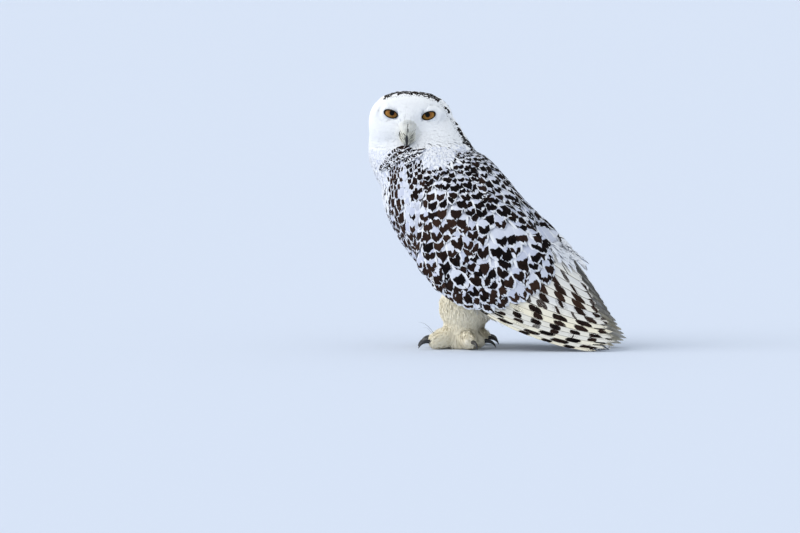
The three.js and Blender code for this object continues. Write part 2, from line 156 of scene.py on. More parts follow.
def eye_frame(side):
    """The eye's own frame: x to the bird's right, y out of the eye, z up. side is 1 for the right eye."""
    place = np.array(Matrix.Translation((side * EYE["side"], EYE["forward"], EYE["up"])))
    return HEAD_FRAME @ place @ turn_about("Z", -side * EYE["turn_out"])


def lid_frame(side):
    """The frame of the lids' opening, which faces along the line of sight."""
    across = unit(np.cross(SIGHT, [0, 0, 1.0]))
    frame_of = np.eye(4)
    frame_of[:3, :3] = np.stack([across, SIGHT, np.cross(across, SIGHT)], 1)
    frame_of[:3, 3] = eye_frame(side)[:3, 3]
    return frame_of


def move(matrix, points):
    """Points of the last axis carried by a 4 x 4 matrix."""
    return np.asarray(points, float) @ matrix[:3, :3].T + matrix[:3, 3]


def node_middle(name):
    low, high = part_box(name)
    return np.array((low + high) / 2) * 1000


SHIFT = node_middle("eye_left") - eye_frame(-1)[:3, 3]


def metres(points):
    return (np.asarray(points, float) + SHIFT) / 1000


def design(points):
    """Millimetres in the bird's own measures of points in metres."""
    return np.asarray(points, float) * 1000 - SHIFT


# ---------- curves and fields ----------


def unit(vectors):
    return vectors / np.maximum(np.linalg.norm(vectors, axis=-1, keepdims=True), 1e-9)


def ease(low, high, x):
    """From 0 at low to 1 at high, smoothly."""
    t = np.clip((x - low) / (high - low), 0, 1)
    return t * t * (3 - 2 * t)


def mix(a, b, t):
    return a + (b - a) * t


def spline(points, t):
    """A smooth curve through evenly shared points, at t from 0 to 1."""
    points = np.asarray(points, float)
    last = len(points) - 1
    place = np.clip(t, 0, 1) * last
    i = np.minimum(place.astype(int), last - 1)
    f = place - i
    before, here, after, beyond = (points[np.clip(i + k, 0, last)] for k in (-1, 0, 1, 2))
    if points.ndim > 1:
        f = f[..., None]
    a = (after - before) / 2
    b = (beyond - here) / 2
    return (2 * here - 2 * after + a + b) * f**3 + (3 * after - 3 * here - 2 * a - b) * f**2 + a * f + here


def table(values, s):
    return spline(values, (s - TABLE["start"]) / TABLE["step"] / (len(values) - 1))


def wing_out(y, z):
    """How far out from the middle plane the folded wing's surface lies."""
    dy = y - WING_AXIS["y"]
    dz = z - WING_AXIS["z"]
    c = math.cos(WING_AXIS["slope"])
    s = math.sin(WING_AXIS["slope"])
    along = dy * c - dz * s
    back = dy * s + dz * c
    level = table(WING_LEVEL, along)
    over = np.maximum(back - level, 0) / table(WING_ROOF, along)
    under = WING_TUCK * (np.minimum(back - level, 0) / 100) ** 2
    return table(WING_SPAN, along) * (np.sqrt(np.maximum(0.03, 1 - over**2)) - under)


def on_wing(side, y, z, height):
    """Points of the wing's surface raised by height along its normal."""
    d = 2.0
    slope_y = (wing_out(y + d, z) - wing_out(y - d, z)) / (2 * d)
    slope_z = (wing_out(y, z + d) - wing_out(y, z - d)) / (2 * d)
    normal = unit(np.stack([np.ones_like(slope_y), -slope_y, -slope_z], -1))
    points = np.stack([wing_out(y, z), y, z], -1) + normal * np.asarray(height)[..., None]
    points[..., 0] *= side
    return points


# ---------- meshes ----------


def mesh_of(name, points, faces):
    """A mesh from points in millimetres. faces is a list of index arrays, each of triangles or of quads."""
    mesh = bpy.data.meshes.new(name)
    points = metres(points)
    corners = np.concatenate([f.ravel() for f in faces]).astype(np.int32)
    sizes = np.concatenate([np.full(len(f), f.shape[1], np.int32) for f in faces])
    starts = np.concatenate([[0], np.cumsum(sizes)[:-1]]).astype(np.int32)
    mesh.vertices.add(len(points))
    mesh.vertices.foreach_set("co", points.astype(np.float32).ravel())
    mesh.loops.add(len(corners))
    mesh.loops.foreach_set("vertex_index", corners)
    mesh.polygons.add(len(sizes))
    mesh.polygons.foreach_set("loop_start", starts)
    mesh.update(calc_edges=True)
    mesh.validate()
    mesh.polygons.foreach_set("use_smooth", np.ones(len(mesh.polygons), bool))
    return mesh


def linked(name, data):
    """A new object in the scene."""
    item = bpy.data.objects.new(name, data)
    bpy.context.scene.collection.objects.link(item)
    return item


def add_piece(name, mesh, material, nodes=()):
    """The mesh as a piece of the bird, in place of the named solids."""
    piece = linked(name, mesh)
    mesh.materials.clear()
    mesh.materials.append(material)
    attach(piece, "root")
    if nodes:
        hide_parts(*nodes)
    return piece


def corners_of(mesh):
    corners = np.empty(len(mesh.loops), np.int32)
    mesh.loops.foreach_get("vertex_index", corners)
    return corners


def set_map(mesh, name, places):
    """A UV map from one place for each vertex."""
    layer = mesh.uv_layers.new(name=name)
    layer.data.foreach_set("uv", places[corners_of(mesh)].astype(np.float32).ravel())


def set_attribute(mesh, name, values):
    kind = "FLOAT" if values.ndim == 1 else "FLOAT_VECTOR"
    field = "value" if values.ndim == 1 else "vector"
    attribute = mesh.attributes.new(name, kind, "POINT")
    attribute.data.foreach_set(field, values.astype(np.float32).ravel())


def read_mesh(mesh):
    """(points in the bird's measures, quads) of a mesh; a triangle is a quad with its last corner twice."""
    points = np.empty(len(mesh.vertices) * 3)
    mesh.vertices.foreach_get("co", points)
    quads = [(list(p.vertices) * 2)[:3] + [p.vertices[-1]] for p in mesh.polygons]
    return design(points.reshape(-1, 3)), np.array(quads)


def evaluated(piece):
    depsgraph = bpy.context.evaluated_depsgraph_get()
    return bpy.data.meshes.new_from_object(piece.evaluated_get(depsgraph))


def grid_faces(rows, columns, start=0):
    """Quads of a grid of points, rows + 1 by columns + 1."""
    i, j = np.meshgrid(np.arange(rows), np.arange(columns), indexing="ij")
    a = (start + i * (columns + 1) + j).ravel()
    return np.stack([a, a + 1, a + columns + 2, a + columns + 1], -1)


def ring_faces(rows, columns):
    """Quads between rings of points, rows + 1 rings of that many columns."""
    index = np.arange((rows + 1) * columns).reshape(rows + 1, columns)
    after = np.roll(index, -1, 1)
    return np.stack([index[:-1], after[:-1], after[1:], index[1:]], -1).reshape(-1, 4)


def closed_sheet(outer, inner):
    """(points, quads) of a closed slab between two like grids of points."""
    rows, columns = outer.shape[0] - 1, outer.shape[1] - 1
    count = outer.shape[0] * outer.shape[1]
    border = list(range(columns))
    border += [i * (columns + 1) + columns for i in range(rows)]
    border += [rows * (columns + 1) + j for j in range(columns, 0, -1)]
    border += [i * (columns + 1) for i in range(rows, 0, -1)]
    ring = np.array(border)
    following = np.roll(ring, -1)
    walls = np.stack([following, ring, ring + count, following + count], -1)
    faces = np.concatenate([grid_faces(rows, columns), grid_faces(rows, columns, count)[:, ::-1], walls])
    return np.concatenate([outer.reshape(-1, 3), inner.reshape(-1, 3)]), faces


def ball(middle, radius):
    """(points, quads) of a ball."""
    columns, rows = 20, 14
    around = np.linspace(0, 2 * math.pi, columns, endpoint=False)
    down = np.linspace(0.02, math.pi - 0.02, rows + 1)
    a, d = np.meshgrid(around, down)
    points = np.stack([np.sin(d) * np.cos(a), np.sin(d) * np.sin(a), np.cos(d)], -1) * radius + middle
    return points.reshape(-1, 3), ring_faces(rows, columns)[:, ::-1]


def loft(stations, columns, rows, cap):
    """(points, quads) of a round-ended body along stations of x, y, z, half width and half depth. cap is the
    share of its length that each end's rounding takes."""
    t = 0.5 - 0.5 * np.cos(np.linspace(0, math.pi, rows + 1))
    line = spline([s[:3] for s in stations], t)
    size = spline([s[3:] for s in stations], t)
    along = unit(np.gradient(line, axis=0))
    across = np.array([1.0, 0.0, 0.0])
    across = unit(across - along * (along @ across)[:, None])
    deep = np.cross(along, across)
    end = np.minimum(t, 1 - t)
    rim = np.maximum(np.sqrt(np.maximum(0, 1 - np.maximum(0, 1 - end / cap) ** 2)), 0.02)
    angle = np.linspace(0, 2 * math.pi, columns, endpoint=False)
    ring = (
        line[:, None]
        + across[:, None] * (size[:, :1] * rim[:, None] * np.cos(angle))[..., None]
        + deep[:, None] * (size[:, 1:] * rim[:, None] * np.sin(angle))[..., None]
    )
    return ring.reshape(-1, 3), ring_faces(rows, columns)


# ---------- the plumage's outer surface and the skin ----------


def union_mesh(name, shapes, voxel):
    """One closed mesh round (points, faces) shapes that meet or overlap."""
    points = []
    faces = []
    for some, quads in shapes:
        start = sum(len(p) for p in points)
        points.append(some)
        faces += [[start + i for i in dict.fromkeys(q)] for q in np.asarray(quads).tolist()]
    mesh = bpy.data.meshes.new(name)
    mesh.from_pydata(metres(np.concatenate(points)).tolist(), [], faces)
    piece = linked(name, mesh)
    modifier = piece.modifiers.new("join", "REMESH")
    modifier.mode = "VOXEL"
    modifier.voxel_size = voxel / 1000
    joined = evaluated(piece)
    bpy.data.objects.remove(piece)
    bpy.data.meshes.remove(mesh)
    return joined


def largest_part(points, quads):
    """The body of most vertices, without loose scraps and sealed pockets."""
    label = np.arange(len(points))
    while True:
        low = label[quads].min(1)
        new = label.copy()
        for k in range(4):
            np.minimum.at(new, quads[:, k], low)
        new = new[new]
        if (new == label).all():
            break
        label = new
    best = np.bincount(label).argmax()
    keep = label == best
    index = np.cumsum(keep) - 1
    return points[keep], index[quads[keep[quads[:, 0]]]]


def neighbour_mean(points, quads):
    total = np.zeros_like(points)
    count = np.zeros(len(points))
    for a in range(4):
        for b in (a - 1, (a + 1) % 4):
            np.add.at(total, quads[:, a], points[quads[:, b]])
            np.add.at(count, quads[:, a], 1)
    return total / count[:, None]


def relaxed(points, quads, rounds):
    for _ in range(rounds):
        points = mix(points, neighbour_mean(points, quads), 0.6)
    return points


def point_normals(points, quads):
    a, b, c, d = (points[quads[:, k]] for k in range(4))
    flat = np.cross(c - a, d - b)
    total = np.zeros_like(points)
    for k in range(4):
        np.add.at(total, quads[:, k], flat)
    return unit(total)


class Surface:
    """A surface that feathers root on and are laid along."""

    def __init__(self, points, quads):
        self.points = points
        self.quads = quads
        self.normals = point_normals(points, quads)
        self.tree = BVHTree.FromPolygons(points.tolist(), quads.tolist())

    def nearest(self, points):
        """(places, normals, faces, shares of each face's corners) nearest to points."""
        flat = points.reshape(-1, 3)
        places = np.empty_like(flat)
        faces = np.empty(len(flat), int)
        find = self.tree.find_nearest
        for i, point in enumerate(flat.tolist()):
            place, _, face, _ = find(point)
            places[i] = place
            faces[i] = face
        corners = self.quads[faces]
        away = ((self.points[corners] - places[:, None]) ** 2).sum(-1)
        share = 1 / (away + 0.05)
        share /= share.sum(1, keepdims=True)
        normals = unit((self.normals[corners] * share[..., None]).sum(1))
        return places.reshape(points.shape), normals.reshape(points.shape), faces, share


def wing_body(side):
    """The arm and hand under their coverts."""
    shares = np.linspace(0, 1, SLAB + 1)
    v, u = np.meshgrid(shares, shares, indexing="ij")
    place = mix(spline(CORE_LOWER, v), spline(CORE_UPPER, v), u[..., None])
    swell = np.sqrt(np.maximum(np.sin(math.pi * u) * np.sin(math.pi * np.clip(v + 0.02, 0, 1)), 0))
    outer = on_wing(side, place[..., 0], place[..., 1], CORE_RISE * swell - CORE_SUNK)
    inner = on_wing(side, place[..., 0], place[..., 1], -mix(38, 9, v**2))
    points, faces = closed_sheet(outer, inner)
    return points, faces if side > 0 else faces[:, ::-1]


def node_shape(name):
    """(points, quads) of one of the frame's solids."""
    return read_mesh(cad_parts[name].data)


def wing_cover(side):
    """A thin slab that carries the coverts over the roots of the long feathers."""
    s, r = np.meshgrid(np.linspace(-0.04, 1, SLAB + 1), np.linspace(0.3, 1.2, SLAB + 1), indexing="ij")
    place = wing_spot(s, r)
    top = mix(5.0, 1.6, ease(0.45, 1.0, r))
    outer = on_wing(side, place[..., 0], place[..., 1], top)
    inner = on_wing(side, place[..., 0], place[..., 1], top - 9)
    points, faces = closed_sheet(outer, inner)
    return points, faces[:, ::-1] if side > 0 else faces


def wing_spot(share, row):
    """[y, z] in the side view. share runs from back to belly, row from the wrist to the covert tips."""
    return mix(spline(WRIST_LINE, share), spline(COVERT_TIPS, share), np.asarray(row)[..., None])


def tail_base():
    """The flesh that the tail's feathers root in."""
    stations = [(10, -4, 44, 20), (44, -4, 36, 15), (78, -4.5, 26, 7)]
    line = [(*on_tail(0, s, n), wide, deep) for s, n, wide, deep in stations]
    return loft(line, 28, 16, 0.2)


def surface_of(shapes, name):
    """One even surface round the shapes."""
    mesh = union_mesh(name, shapes, 3.2)
    points, quads = largest_part(*read_mesh(mesh))
    bpy.data.meshes.remove(mesh)
    return Surface(relaxed(points, quads, 4), quads)


def body_shapes():
    """The flesh nodes, the arms, the eyeballs with the flesh behind their corners, and the tail's root."""
    names = ["torso", "neck", "head"]
    names += [part + side for part in ("leg_", "foot_") for side in LEGS]
    shapes = [node_shape(name) for name in names]
    shapes += [wing_body(side) for side in (1, -1)]
    for side in (1, -1):
        shapes.append(ball(eye_frame(side)[:3, 3], EYE["radius"] + 1.2))
        shapes.append(ball(move(HEAD_FRAME, (side * 46, 24.5, 18)), EYE["radius"] + 0.8))
    shapes.append(tail_base())
    return shapes


# ---------- where each kind of plumage grows ----------


def in_head(points):
    """Points in the head's frame: x to the bird's right, y out of the face, z up."""
    return (points - HEAD_FRAME[:3, 3]) @ HEAD_FRAME[:3, :3]


def above_neck(points):
    """How far points lie above the plane where the head begins."""
    up = np.array([0, -math.sin(NECK_TOP["slope"]), math.cos(NECK_TOP["slope"])])
    return (points - np.array([0, NECK_TOP["y"], NECK_TOP["z"]])) @ up


def down_body(points):
    """Distance down the body's axis, from the shoulders."""
    c = math.cos(WING_AXIS["slope"])
    s = math.sin(WING_AXIS["slope"])
    return (points[..., 1] - WING_AXIS["y"]) * c - (points[..., 2] - WING_AXIS["z"]) * s


def leg_share(points):
    """1 on the legs and feet, 0 on the body."""
    x, y, z = np.abs(points[..., 0]), points[..., 1], points[..., 2]
    return ease(100, 86, z) * ease(58, 34, y) * ease(92, 80, x)


def head_share(points):
    """1 on the head, 0 below it."""
    return ease(-10, 22, above_neck(points))


def broadside(points):
    """(along, up) of points in the broadside view; both sides of the bird are alike."""
    x, y, z = np.abs(points[..., 0]), points[..., 1], points[..., 2]
    main, slight, rise = BROADSIDE["y"], BROADSIDE["x"], BROADSIDE["rise"]
    return main * y - slight * x, z - rise * (main * x + slight * y)


def blob(points, along, up, size_along, size_up):
    """1 in the middle of an oval of the broadside view, fading outwards."""
    u, w = broadside(points)
    return np.exp(-(((u - along) / size_along) ** 2) - ((w - up) / size_up) ** 2)


def near_line(points, line, width):
    """Whether points lie that close to a line of the broadside view."""
    place = np.stack(broadside(points), -1)
    best = np.full(place.shape[:-1], 1e9)
    for a, b in zip(np.array(line[:-1], float), np.array(line[1:], float)):
        t = np.clip(((place - a) @ (b - a)) / ((b - a) @ (b - a)), 0, 1)
        best = np.minimum(best, np.linalg.norm(place - a - t[..., None] * (b - a), axis=-1))
    return best < width


def smooth_table(rows, x, y, soft):
    """A value at places x, y between rows of (x, y, value)."""
    total = np.zeros(x.shape)
    weight = np.zeros(x.shape)
    for px, py, value in rows:
        w = 1 / ((x - px) ** 2 + (y - py) ** 2 + soft) ** 2
        total += w * value
        weight += w
    return total / weight


def tree_of(points):
    """A tree to find the nearest of these points in."""
    tree = KDTree(len(points))
    for i, point in enumerate(points.tolist()):
        tree.insert(point, i)
    tree.balance()
    return tree


def wing_place(y, z):
    """(share, row) of points of the side view, as in wing_spot; -1 away from the wing."""
    if "places" not in made:
        s, r = np.meshgrid(np.linspace(0, 1, 41), np.linspace(0, 1.3, 61), indexing="ij")
        spots = np.insert(wing_spot(s, r).reshape(-1, 2), 2, 0, axis=1)
        made["places"] = (tree_of(spots), s.ravel(), r.ravel())
    tree, s, r = made["places"]
    found = [tree.find((py, pz, 0)) for py, pz in zip(y.ravel().tolist(), z.ravel().tolist())]
    index = np.array([f[1] for f in found], int)
    near = np.array([f[2] for f in found]) < 7
    share = np.where(near, s[index], -1).reshape(y.shape)
    row = np.where(near, r[index], -1).reshape(y.shape)
    return share, row


def lie(points, normals):
    """Which way the feathers lie at points of the coat."""
    head = in_head(points)
    bill = move(HEAD_FRAME, (0, 50, -6))
    from_bill = unit(points - bill)
    down = np.array([0.0, 0.0, -1.0])
    sink = 1.7 * ease(26, -34, head[..., 1])
    on_head = from_bill + down * sink[..., None]
    for side in (1, -1):
        middle, axis = eye_frame(side)[:3, 3], eye_frame(side)[:3, 1]
        away = points - middle
        near = np.exp(-((np.linalg.norm(away, axis=-1) / 22) ** 2))
        away = away - (away @ axis)[..., None] * axis
        on_head = mix(on_head, unit(away) * 1.3, near[..., None])
    slope = smooth_table(LIE, points[..., 1], points[..., 2], 300) * DEG
    on_body = np.stack([0 * slope, np.cos(slope), -np.sin(slope)], -1)
    on_leg = np.stack([0 * slope, 0 * slope + 0.12, 0 * slope - 1], -1)
    for x, y in LEGS.values():
        ankle = np.array([x, y, 24.0])
        away = points - ankle
        toes = ease(40, 22, points[..., 2]) * ease(70, 50, np.linalg.norm(away[..., :2], axis=-1))
        outward = unit(away * np.array([1, 1, 0.2]))
        on_leg = mix(on_leg, outward + down * 0.35, toes[..., None])
    way = mix(on_body, on_head, head_share(points)[..., None])
    way = mix(way, on_leg, leg_share(points)[..., None])
    way = way - normals * (way * normals).sum(-1, keepdims=True)
    return unit(way)


def face_share(points):
    """1 on the front of the head, 0 behind it and below."""
    return head_share(points) * ease(-2, 22, in_head(points)[..., 1])


def crown_share(points):
    """1 on the flecked crown, the back of the head and its outline behind the cheeks."""
    head = in_head(points)
    crown = ease(36, 40, head[..., 2]) * ease(32, 24, head[..., 1]) * ease(52, 44, np.abs(head[..., 0]))
    back = ease(16, -22, head[..., 1])
    outline = near_line(points, [(-54, 404), (-28, 359), (-8, 322)], 12)
    outline &= (points[..., 1] > -112) & (points[..., 0] > 0)
    return np.maximum(crown, np.maximum(outline, back)) * head_share(points)


def coat_depth(points):
    """How far the skin lies under the outside of the plumage."""
    depth = mix(9.0, 4.2, head_share(points))
    depth = mix(depth, 2.4, face_share(points))
    toes = ease(34, 22, points[..., 2])
    return mix(depth, mix(5.0, 3.2, toes), leg_share(points))


def breast_share(points):
    """1 on the barred front of the breast and belly, 0 on the flanks."""
    edge = spline(BREAST_EDGE, (points[..., 2] - BREAST_LOW) / (BREAST_HIGH - BREAST_LOW))
    return ease(3, -5, points[..., 1] - edge)


def spacing(points):
    """How far apart the feathers' marks lie."""
    on_head = mix(1.8, 8.0, crown_share(points))
    u, w = broadside(points)
    on_body = smooth_table(SIZES, u, w, 150)
    on_body = mix(on_body, 13.0, breast_share(points) * ease(285, 250, points[..., 2]))
    on_body = mix(on_body, 9.0, rump_share(points))
    x, y, z = np.abs(points[..., 0]), points[..., 1], points[..., 2]
    vent = ease(128, 100, z) * ease(62, 42, y) * ease(78, 64, x)
    on_body = mix(on_body, 7.0, vent)
    size = mix(on_body, on_head, head_share(points))
    return mix(size, 4.2, ease(0.3, 0.6, leg_share(points)))


def rump_share(points):
    """1 on the white rump over the tail's root."""
    x, z = np.abs(points[..., 0]), points[..., 2]
    return ease(130, 152, down_body(points)) * ease(52, 38, x) * ease(148, 164, z)


def marked(points):
    """(spots, barred, tone, cream, tall) of the plumage at points: how many feathers bear a mark, how far it
    is a bar across the feather, how brown, how stained with cream and how tall and narrow it is."""
    x = np.abs(points[..., 0])
    head = in_head(points)
    on_head = head_share(points)
    u, w = broadside(points)
    nape = ease(14, -16, head[..., 1]) * (points[..., 0] < 25)
    flecks = crown_share(points) * mix(0.95, 0.54, nape)
    slant = u + (234 - w) * 0.12
    front = breast_share(points)
    belly = ease(120, 90, points[..., 2]) * ease(70, 40, x)
    patch = blob(points, -72, 311, 28, 18) * ease(20, 50, points[..., 0])
    column = blob(points, -120 + (234 - w) * 0.12, 240, 7, 58) * ease(40, 60, x)
    throat = ease(-148, -160, slant) * ease(236, 272, w)
    chin = ease(317, 323, w) * ease(-12, -20, u + 0.54 * (w - 322)) * ease(-12, 0, head[..., 1])
    bare = np.clip(1.8 * patch + 1.5 * column + 0.92 * throat + chin + rump_share(points), 0, 1)
    streaks = ease(-102, -110, slant) * ease(25, 40, x)
    spots = (1 - bare) * (1 - belly) * ease(0.4, 0.0, leg_share(points))
    spots = mix(spots, flecks, on_head)
    barred = front * ease(66, 30, x) * (1 - on_head)
    brown = blob(points, -52, 178, 48, 40) + blob(points, 83, 80, 70, 30)
    brown = brown + 0.5 * blob(points, -90, 260, 25, 40)
    tone = 0.02 + 0.6 * np.clip(brown, 0, 1) + 0.4 * front
    lores = np.exp(-((head[..., 0] / 20) ** 2) - ((head[..., 2] + 12) / 17) ** 2)
    lores = lores * ease(10, 30, head[..., 1]) * on_head
    cream = leg_share(points) + 0.25 * ease(110, 75, points[..., 2]) * ease(80, 60, x) + 0.32 * lores
    edge = blob(points, -20, 92, 34, 26)
    tall = mix(np.maximum(streaks * (1 - barred), 0.7 * edge), -0.6 * nape, on_head)
    tone = tone * (1 - 0.9 * on_head)
    return spots, barred, tone, np.clip(cream, 0, 1), tall


# ---------- node trees ----------


class Tree:
    """Short calls that build one node tree."""

    def __init__(self, tree):
        self.tree = tree
        self.column = 0

    def node(self, kind, **settings):
        item = self.tree.nodes.new(kind)
        self.column += 1
        item.location = (180 * (self.column % 12), -220 * (self.column // 12))
        for key, value in settings.items():
            setattr(item, key, value)
        return item

    def feed(self, socket, value):
        if isinstance(value, bpy.types.NodeSocket):
            self.tree.links.new(value, socket)
        elif value is not None:
            socket.default_value = value

    def math(self, operation, a, b=None, clamp=False):
        item = self.node("ShaderNodeMath", operation=operation, use_clamp=clamp)
        for socket, value in zip(item.inputs, (a, b)):
            self.feed(socket, value)
        return item.outputs[0]

    def add(self, a, b):
        return self.math("ADD", a, b)

    def less(self, a, b):
        return self.math("SUBTRACT", a, b)

    def times(self, a, b):
        return self.math("MULTIPLY", a, b)

    def over(self, a, b):
        return self.math("DIVIDE", a, b)

    def rise(self, value, low, high):
        """From 0 at low to 1 at high, smoothly; low may lie above high."""
        item = self.node("ShaderNodeMapRange", interpolation_type="SMOOTHSTEP")
        if not isinstance(low, bpy.types.NodeSocket) and low > high:
            self.feed(item.inputs["To Min"], 1.0)
            self.feed(item.inputs["To Max"], 0.0)
            low, high = high, low
        self.feed(item.inputs["Value"], value)
        self.feed(item.inputs["From Min"], low)
        self.feed(item.inputs["From Max"], high)
        return item.outputs["Result"]

    def blend(self, share, a, b):
        item = self.node("ShaderNodeMix", data_type="RGBA")
        self.feed(item.inputs[0], share)
        self.feed(item.inputs[6], a)
        self.feed(item.inputs[7], b)
        return item.outputs[2]

    def parts(self, vector):
        item = self.node("ShaderNodeSeparateXYZ")
        self.feed(item.inputs[0], vector)
        return item.outputs

    def vector(self, x, y, z):
        item = self.node("ShaderNodeCombineXYZ")
        for socket, value in zip(item.inputs, (x, y, z)):
            self.feed(socket, value)
        return item.outputs[0]

    def size(self, value):
        return self.math("ABSOLUTE", value)

    def larger(self, a, b, clamp=False):
        return self.math("MAXIMUM", a, b, clamp=clamp)

    def grain(self, vector, scale, detail, roughness=0.5):
        item = self.node("ShaderNodeTexNoise")
        self.feed(item.inputs["Vector"], vector)
        item.inputs["Scale"].default_value = scale
        item.inputs["Detail"].default_value = detail
        item.inputs["Roughness"].default_value = roughness
        return item.outputs["Fac"]

    def attribute(self, name, output="Vector"):
        return self.node("ShaderNodeAttribute", attribute_name=name).outputs[output]

    def group(self, name, **values):
        item = self.node("ShaderNodeGroup")
        item.node_tree = bpy.data.node_groups[name]
        for key, value in values.items():
            self.feed(item.inputs[key.replace("_", " ")], value)
        return item.outputs


def new_group(name, inputs, outputs):
    """(tree, input sockets by name, function that feeds an output) of a shader node group."""
    group = bpy.data.node_groups.new(name, "ShaderNodeTree")
    for key, (kind, value) in inputs.items():
        socket = group.interface.new_socket(key, in_out="INPUT", socket_type="NodeSocket" + kind)
        if value is not None:
            socket.default_value = value
    for key, kind in outputs.items():
        group.interface.new_socket(key, in_out="OUTPUT", socket_type="NodeSocket" + kind)
    t = Tree(group)
    source = t.node("NodeGroupInput").outputs
    sink = t.node("NodeGroupOutput").inputs
    return t, source, lambda key, value: t.feed(sink[key], value)


def build_markings():
    """The dark marks on one feather. Vane is (across, up from the tip) in half widths, Mark is (spot, bars,
    tone), Form is (width, height, seed). Bars is the dark share of each bar's step."""
    inputs = {
        "Vane": ("Vector", None),
        "Mark": ("Vector", None),
        "Form": ("Vector", None),
        "Browning": ("Float", 1.0),
        "Black": ("Color", (0.008, 0.006, 0.006, 1)),
        "Brown": ("Color", (0.1, 0.05, 0.03, 1)),
    }
    t, source, give = new_group("Feather markings", inputs, {"Mask": "Float", "Dark": "Color"})
    x, y, _ = t.parts(source["Vane"])
    spot, bars, tone = t.parts(source["Mark"])
    width, height, seed = t.parts(source["Form"])
    place = t.vector(x, y, t.times(seed, 37.0))
    wobble = t.less(t.grain(place, 1.5, 1.0), 0.5)
    barb = t.add(y, t.times(t.size(x), 0.8))
    along_barb = t.vector(t.times(barb, 5.5), t.times(x, 0.8), t.times(seed, 11.0))
    streak = t.less(t.grain(along_barb, 1.6, 2.0), 0.5)
    px = t.add(t.add(x, t.times(wobble, 0.4)), t.times(streak, 0.12))
    py = t.add(t.add(y, t.times(wobble, -0.4)), t.times(streak, 0.34))
    aside = t.size(px)
    # A spot: its lower edge comes to a point above the tip, its upper edge is level or dented at the shaft.
    point = t.add(0.4, t.times(t.math("FRACT", t.times(seed, 7.31)), 0.7))
    dent = t.times(t.rise(t.math("FRACT", t.times(seed, 3.77)), 0.25, 0.8), 0.45)
    low = t.add(0.12, t.times(aside, point))
    high = t.add(t.add(0.2, height), t.times(aside, 0.25))
    high = t.less(high, t.times(dent, t.rise(aside, 0.32, 0.0)))
    soft = 0.045
    inside = t.times(t.rise(t.less(py, low), -soft, soft), t.rise(t.less(high, py), -soft, soft))
    blot = t.times(inside, t.rise(t.less(width, aside), -soft, soft))
    blot = t.times(blot, t.rise(spot, 0.05, 0.2))
    # Bars: a rounded blot on each web of the vane at every step; a few are small or missing.
    web = t.math("SIGN", x)
    level = t.add(t.over(t.add(t.add(py, t.times(aside, 0.4)), t.times(web, 0.2)), height), seed)
    chance = t.node("ShaderNodeTexWhiteNoise", noise_dimensions="3D")
    t.feed(chance.inputs["Vector"], t.vector(t.math("FLOOR", level), web, t.times(seed, 53.0)))
    size = t.rise(chance.outputs["Value"], 0.95, 0.78)
    size = t.times(size, t.add(0.85, t.times(chance.outputs["Value"], 0.5)))
    thick = t.times(t.larger(bars, 0.02), t.times(size, 0.5))
    deep = t.over(t.less(t.math("FRACT", level), 0.5), t.larger(thick, 0.001))
    apart = t.size(t.add(t.add(x, t.times(wobble, 0.5)), t.times(streak, 0.3)))
    inner = t.add(0.36, t.times(t.math("FRACT", t.times(chance.outputs["Value"], 17.0)), 0.34))
    wide = t.over(t.less(apart, inner), t.times(width, 0.66))
    oval = t.add(t.math("POWER", t.size(deep), 2.4), t.math("POWER", t.size(wide), 2.4))
    line = t.times(t.rise(oval, 1.12, 0.88), t.rise(y, 0.1, 0.2))
    line = t.times(line, t.rise(bars, 0.04, 0.1))
    give("Mask", t.larger(blot, line, clamp=True))
    warmth = t.times(t.add(tone, t.times(t.add(streak, wobble), 0.55)), source["Browning"])
    give("Dark", t.blend(t.larger(warmth, 0.0, clamp=True), source["Black"], source["Brown"]))


def build_barbs():
    """The fine lines of the barbs, slanting from the shaft to the edge: a shade and a height."""
    inputs = {"Vane": ("Vector", None), "Seed": ("Float", 0.0)}
    t, source, give = new_group("Feather barbs", inputs, {"Shade": "Float", "Height": "Float"})
    x, y, _ = t.parts(source["Vane"])
    aside = t.size(x)
    slant = t.add(y, t.times(aside, 0.8))
    along_barb = t.vector(t.times(slant, 13.0), t.times(x, 1.2), t.times(source["Seed"], 19.0))
    lines = t.grain(along_barb, 1.0, 3.0, 0.6)
    shaft = t.rise(aside, 0.07, 0.02)
    give("Shade", t.add(0.5, t.times(t.less(lines, 0.5), 1.6)))
    give("Height", t.add(lines, shaft))


def build_white():
    """White plumage: painted shade inside the feather, pure white at its rim, cream where it is stained."""
    inputs = {
        "Vane": ("Vector", None),
        "Shade": ("Float", 0.5),
        "Stain": ("Float", 0.0),
        "Seed": ("Float", 0.0),
        "Depth": ("Float", 1.0),
        "Edge": ("Float", 0.0),
        "White": ("Color", (0.9, 0.91, 0.92, 1)),
        "Cool": ("Color", (0.6, 0.63, 0.73, 1)),
        "Cream": ("Color", (0.74, 0.64, 0.43, 1)),
    }
    t, source, give = new_group("White plumage", inputs, {"Color": "Color"})
    x, y, _ = t.parts(source["Vane"])
    aside = t.size(x)
    # Painted shade: away from its white rim, each feather is tinted towards the shade colour.
    rim = t.larger(t.rise(aside, 0.5, 0.92), t.rise(y, 0.45, 0.1))
    painted_shade = t.times(t.times(t.less(1.0, rim), source["Depth"]), t.add(0.5, t.times(source["Seed"], 0.6)))
    base = t.blend(painted_shade, source["White"], source["Cool"])
    warm = t.blend(source["Stain"], base, source["Cream"])
    # Painted shadow between overlapping feathers: a dark line along the vane's edges, and another along the
    # shaft, where the feather is stained.
    line = t.larger(t.rise(aside, 0.86, 0.99), t.rise(aside, 0.045, 0.015))
    line = t.times(line, t.rise(source["Stain"], 0.15, 0.45))
    warm = t.blend(t.times(line, source["Edge"]), warm, (0.2, 0.16, 0.12, 1))
    give("Color", t.blend(t.times(source["Shade"], 0.16), warm, t.blend(0.5, warm, (0.1, 0.1, 0.12, 1))))


def object_place(t):
    return t.node("ShaderNodeTexCoord").outputs["Object"]


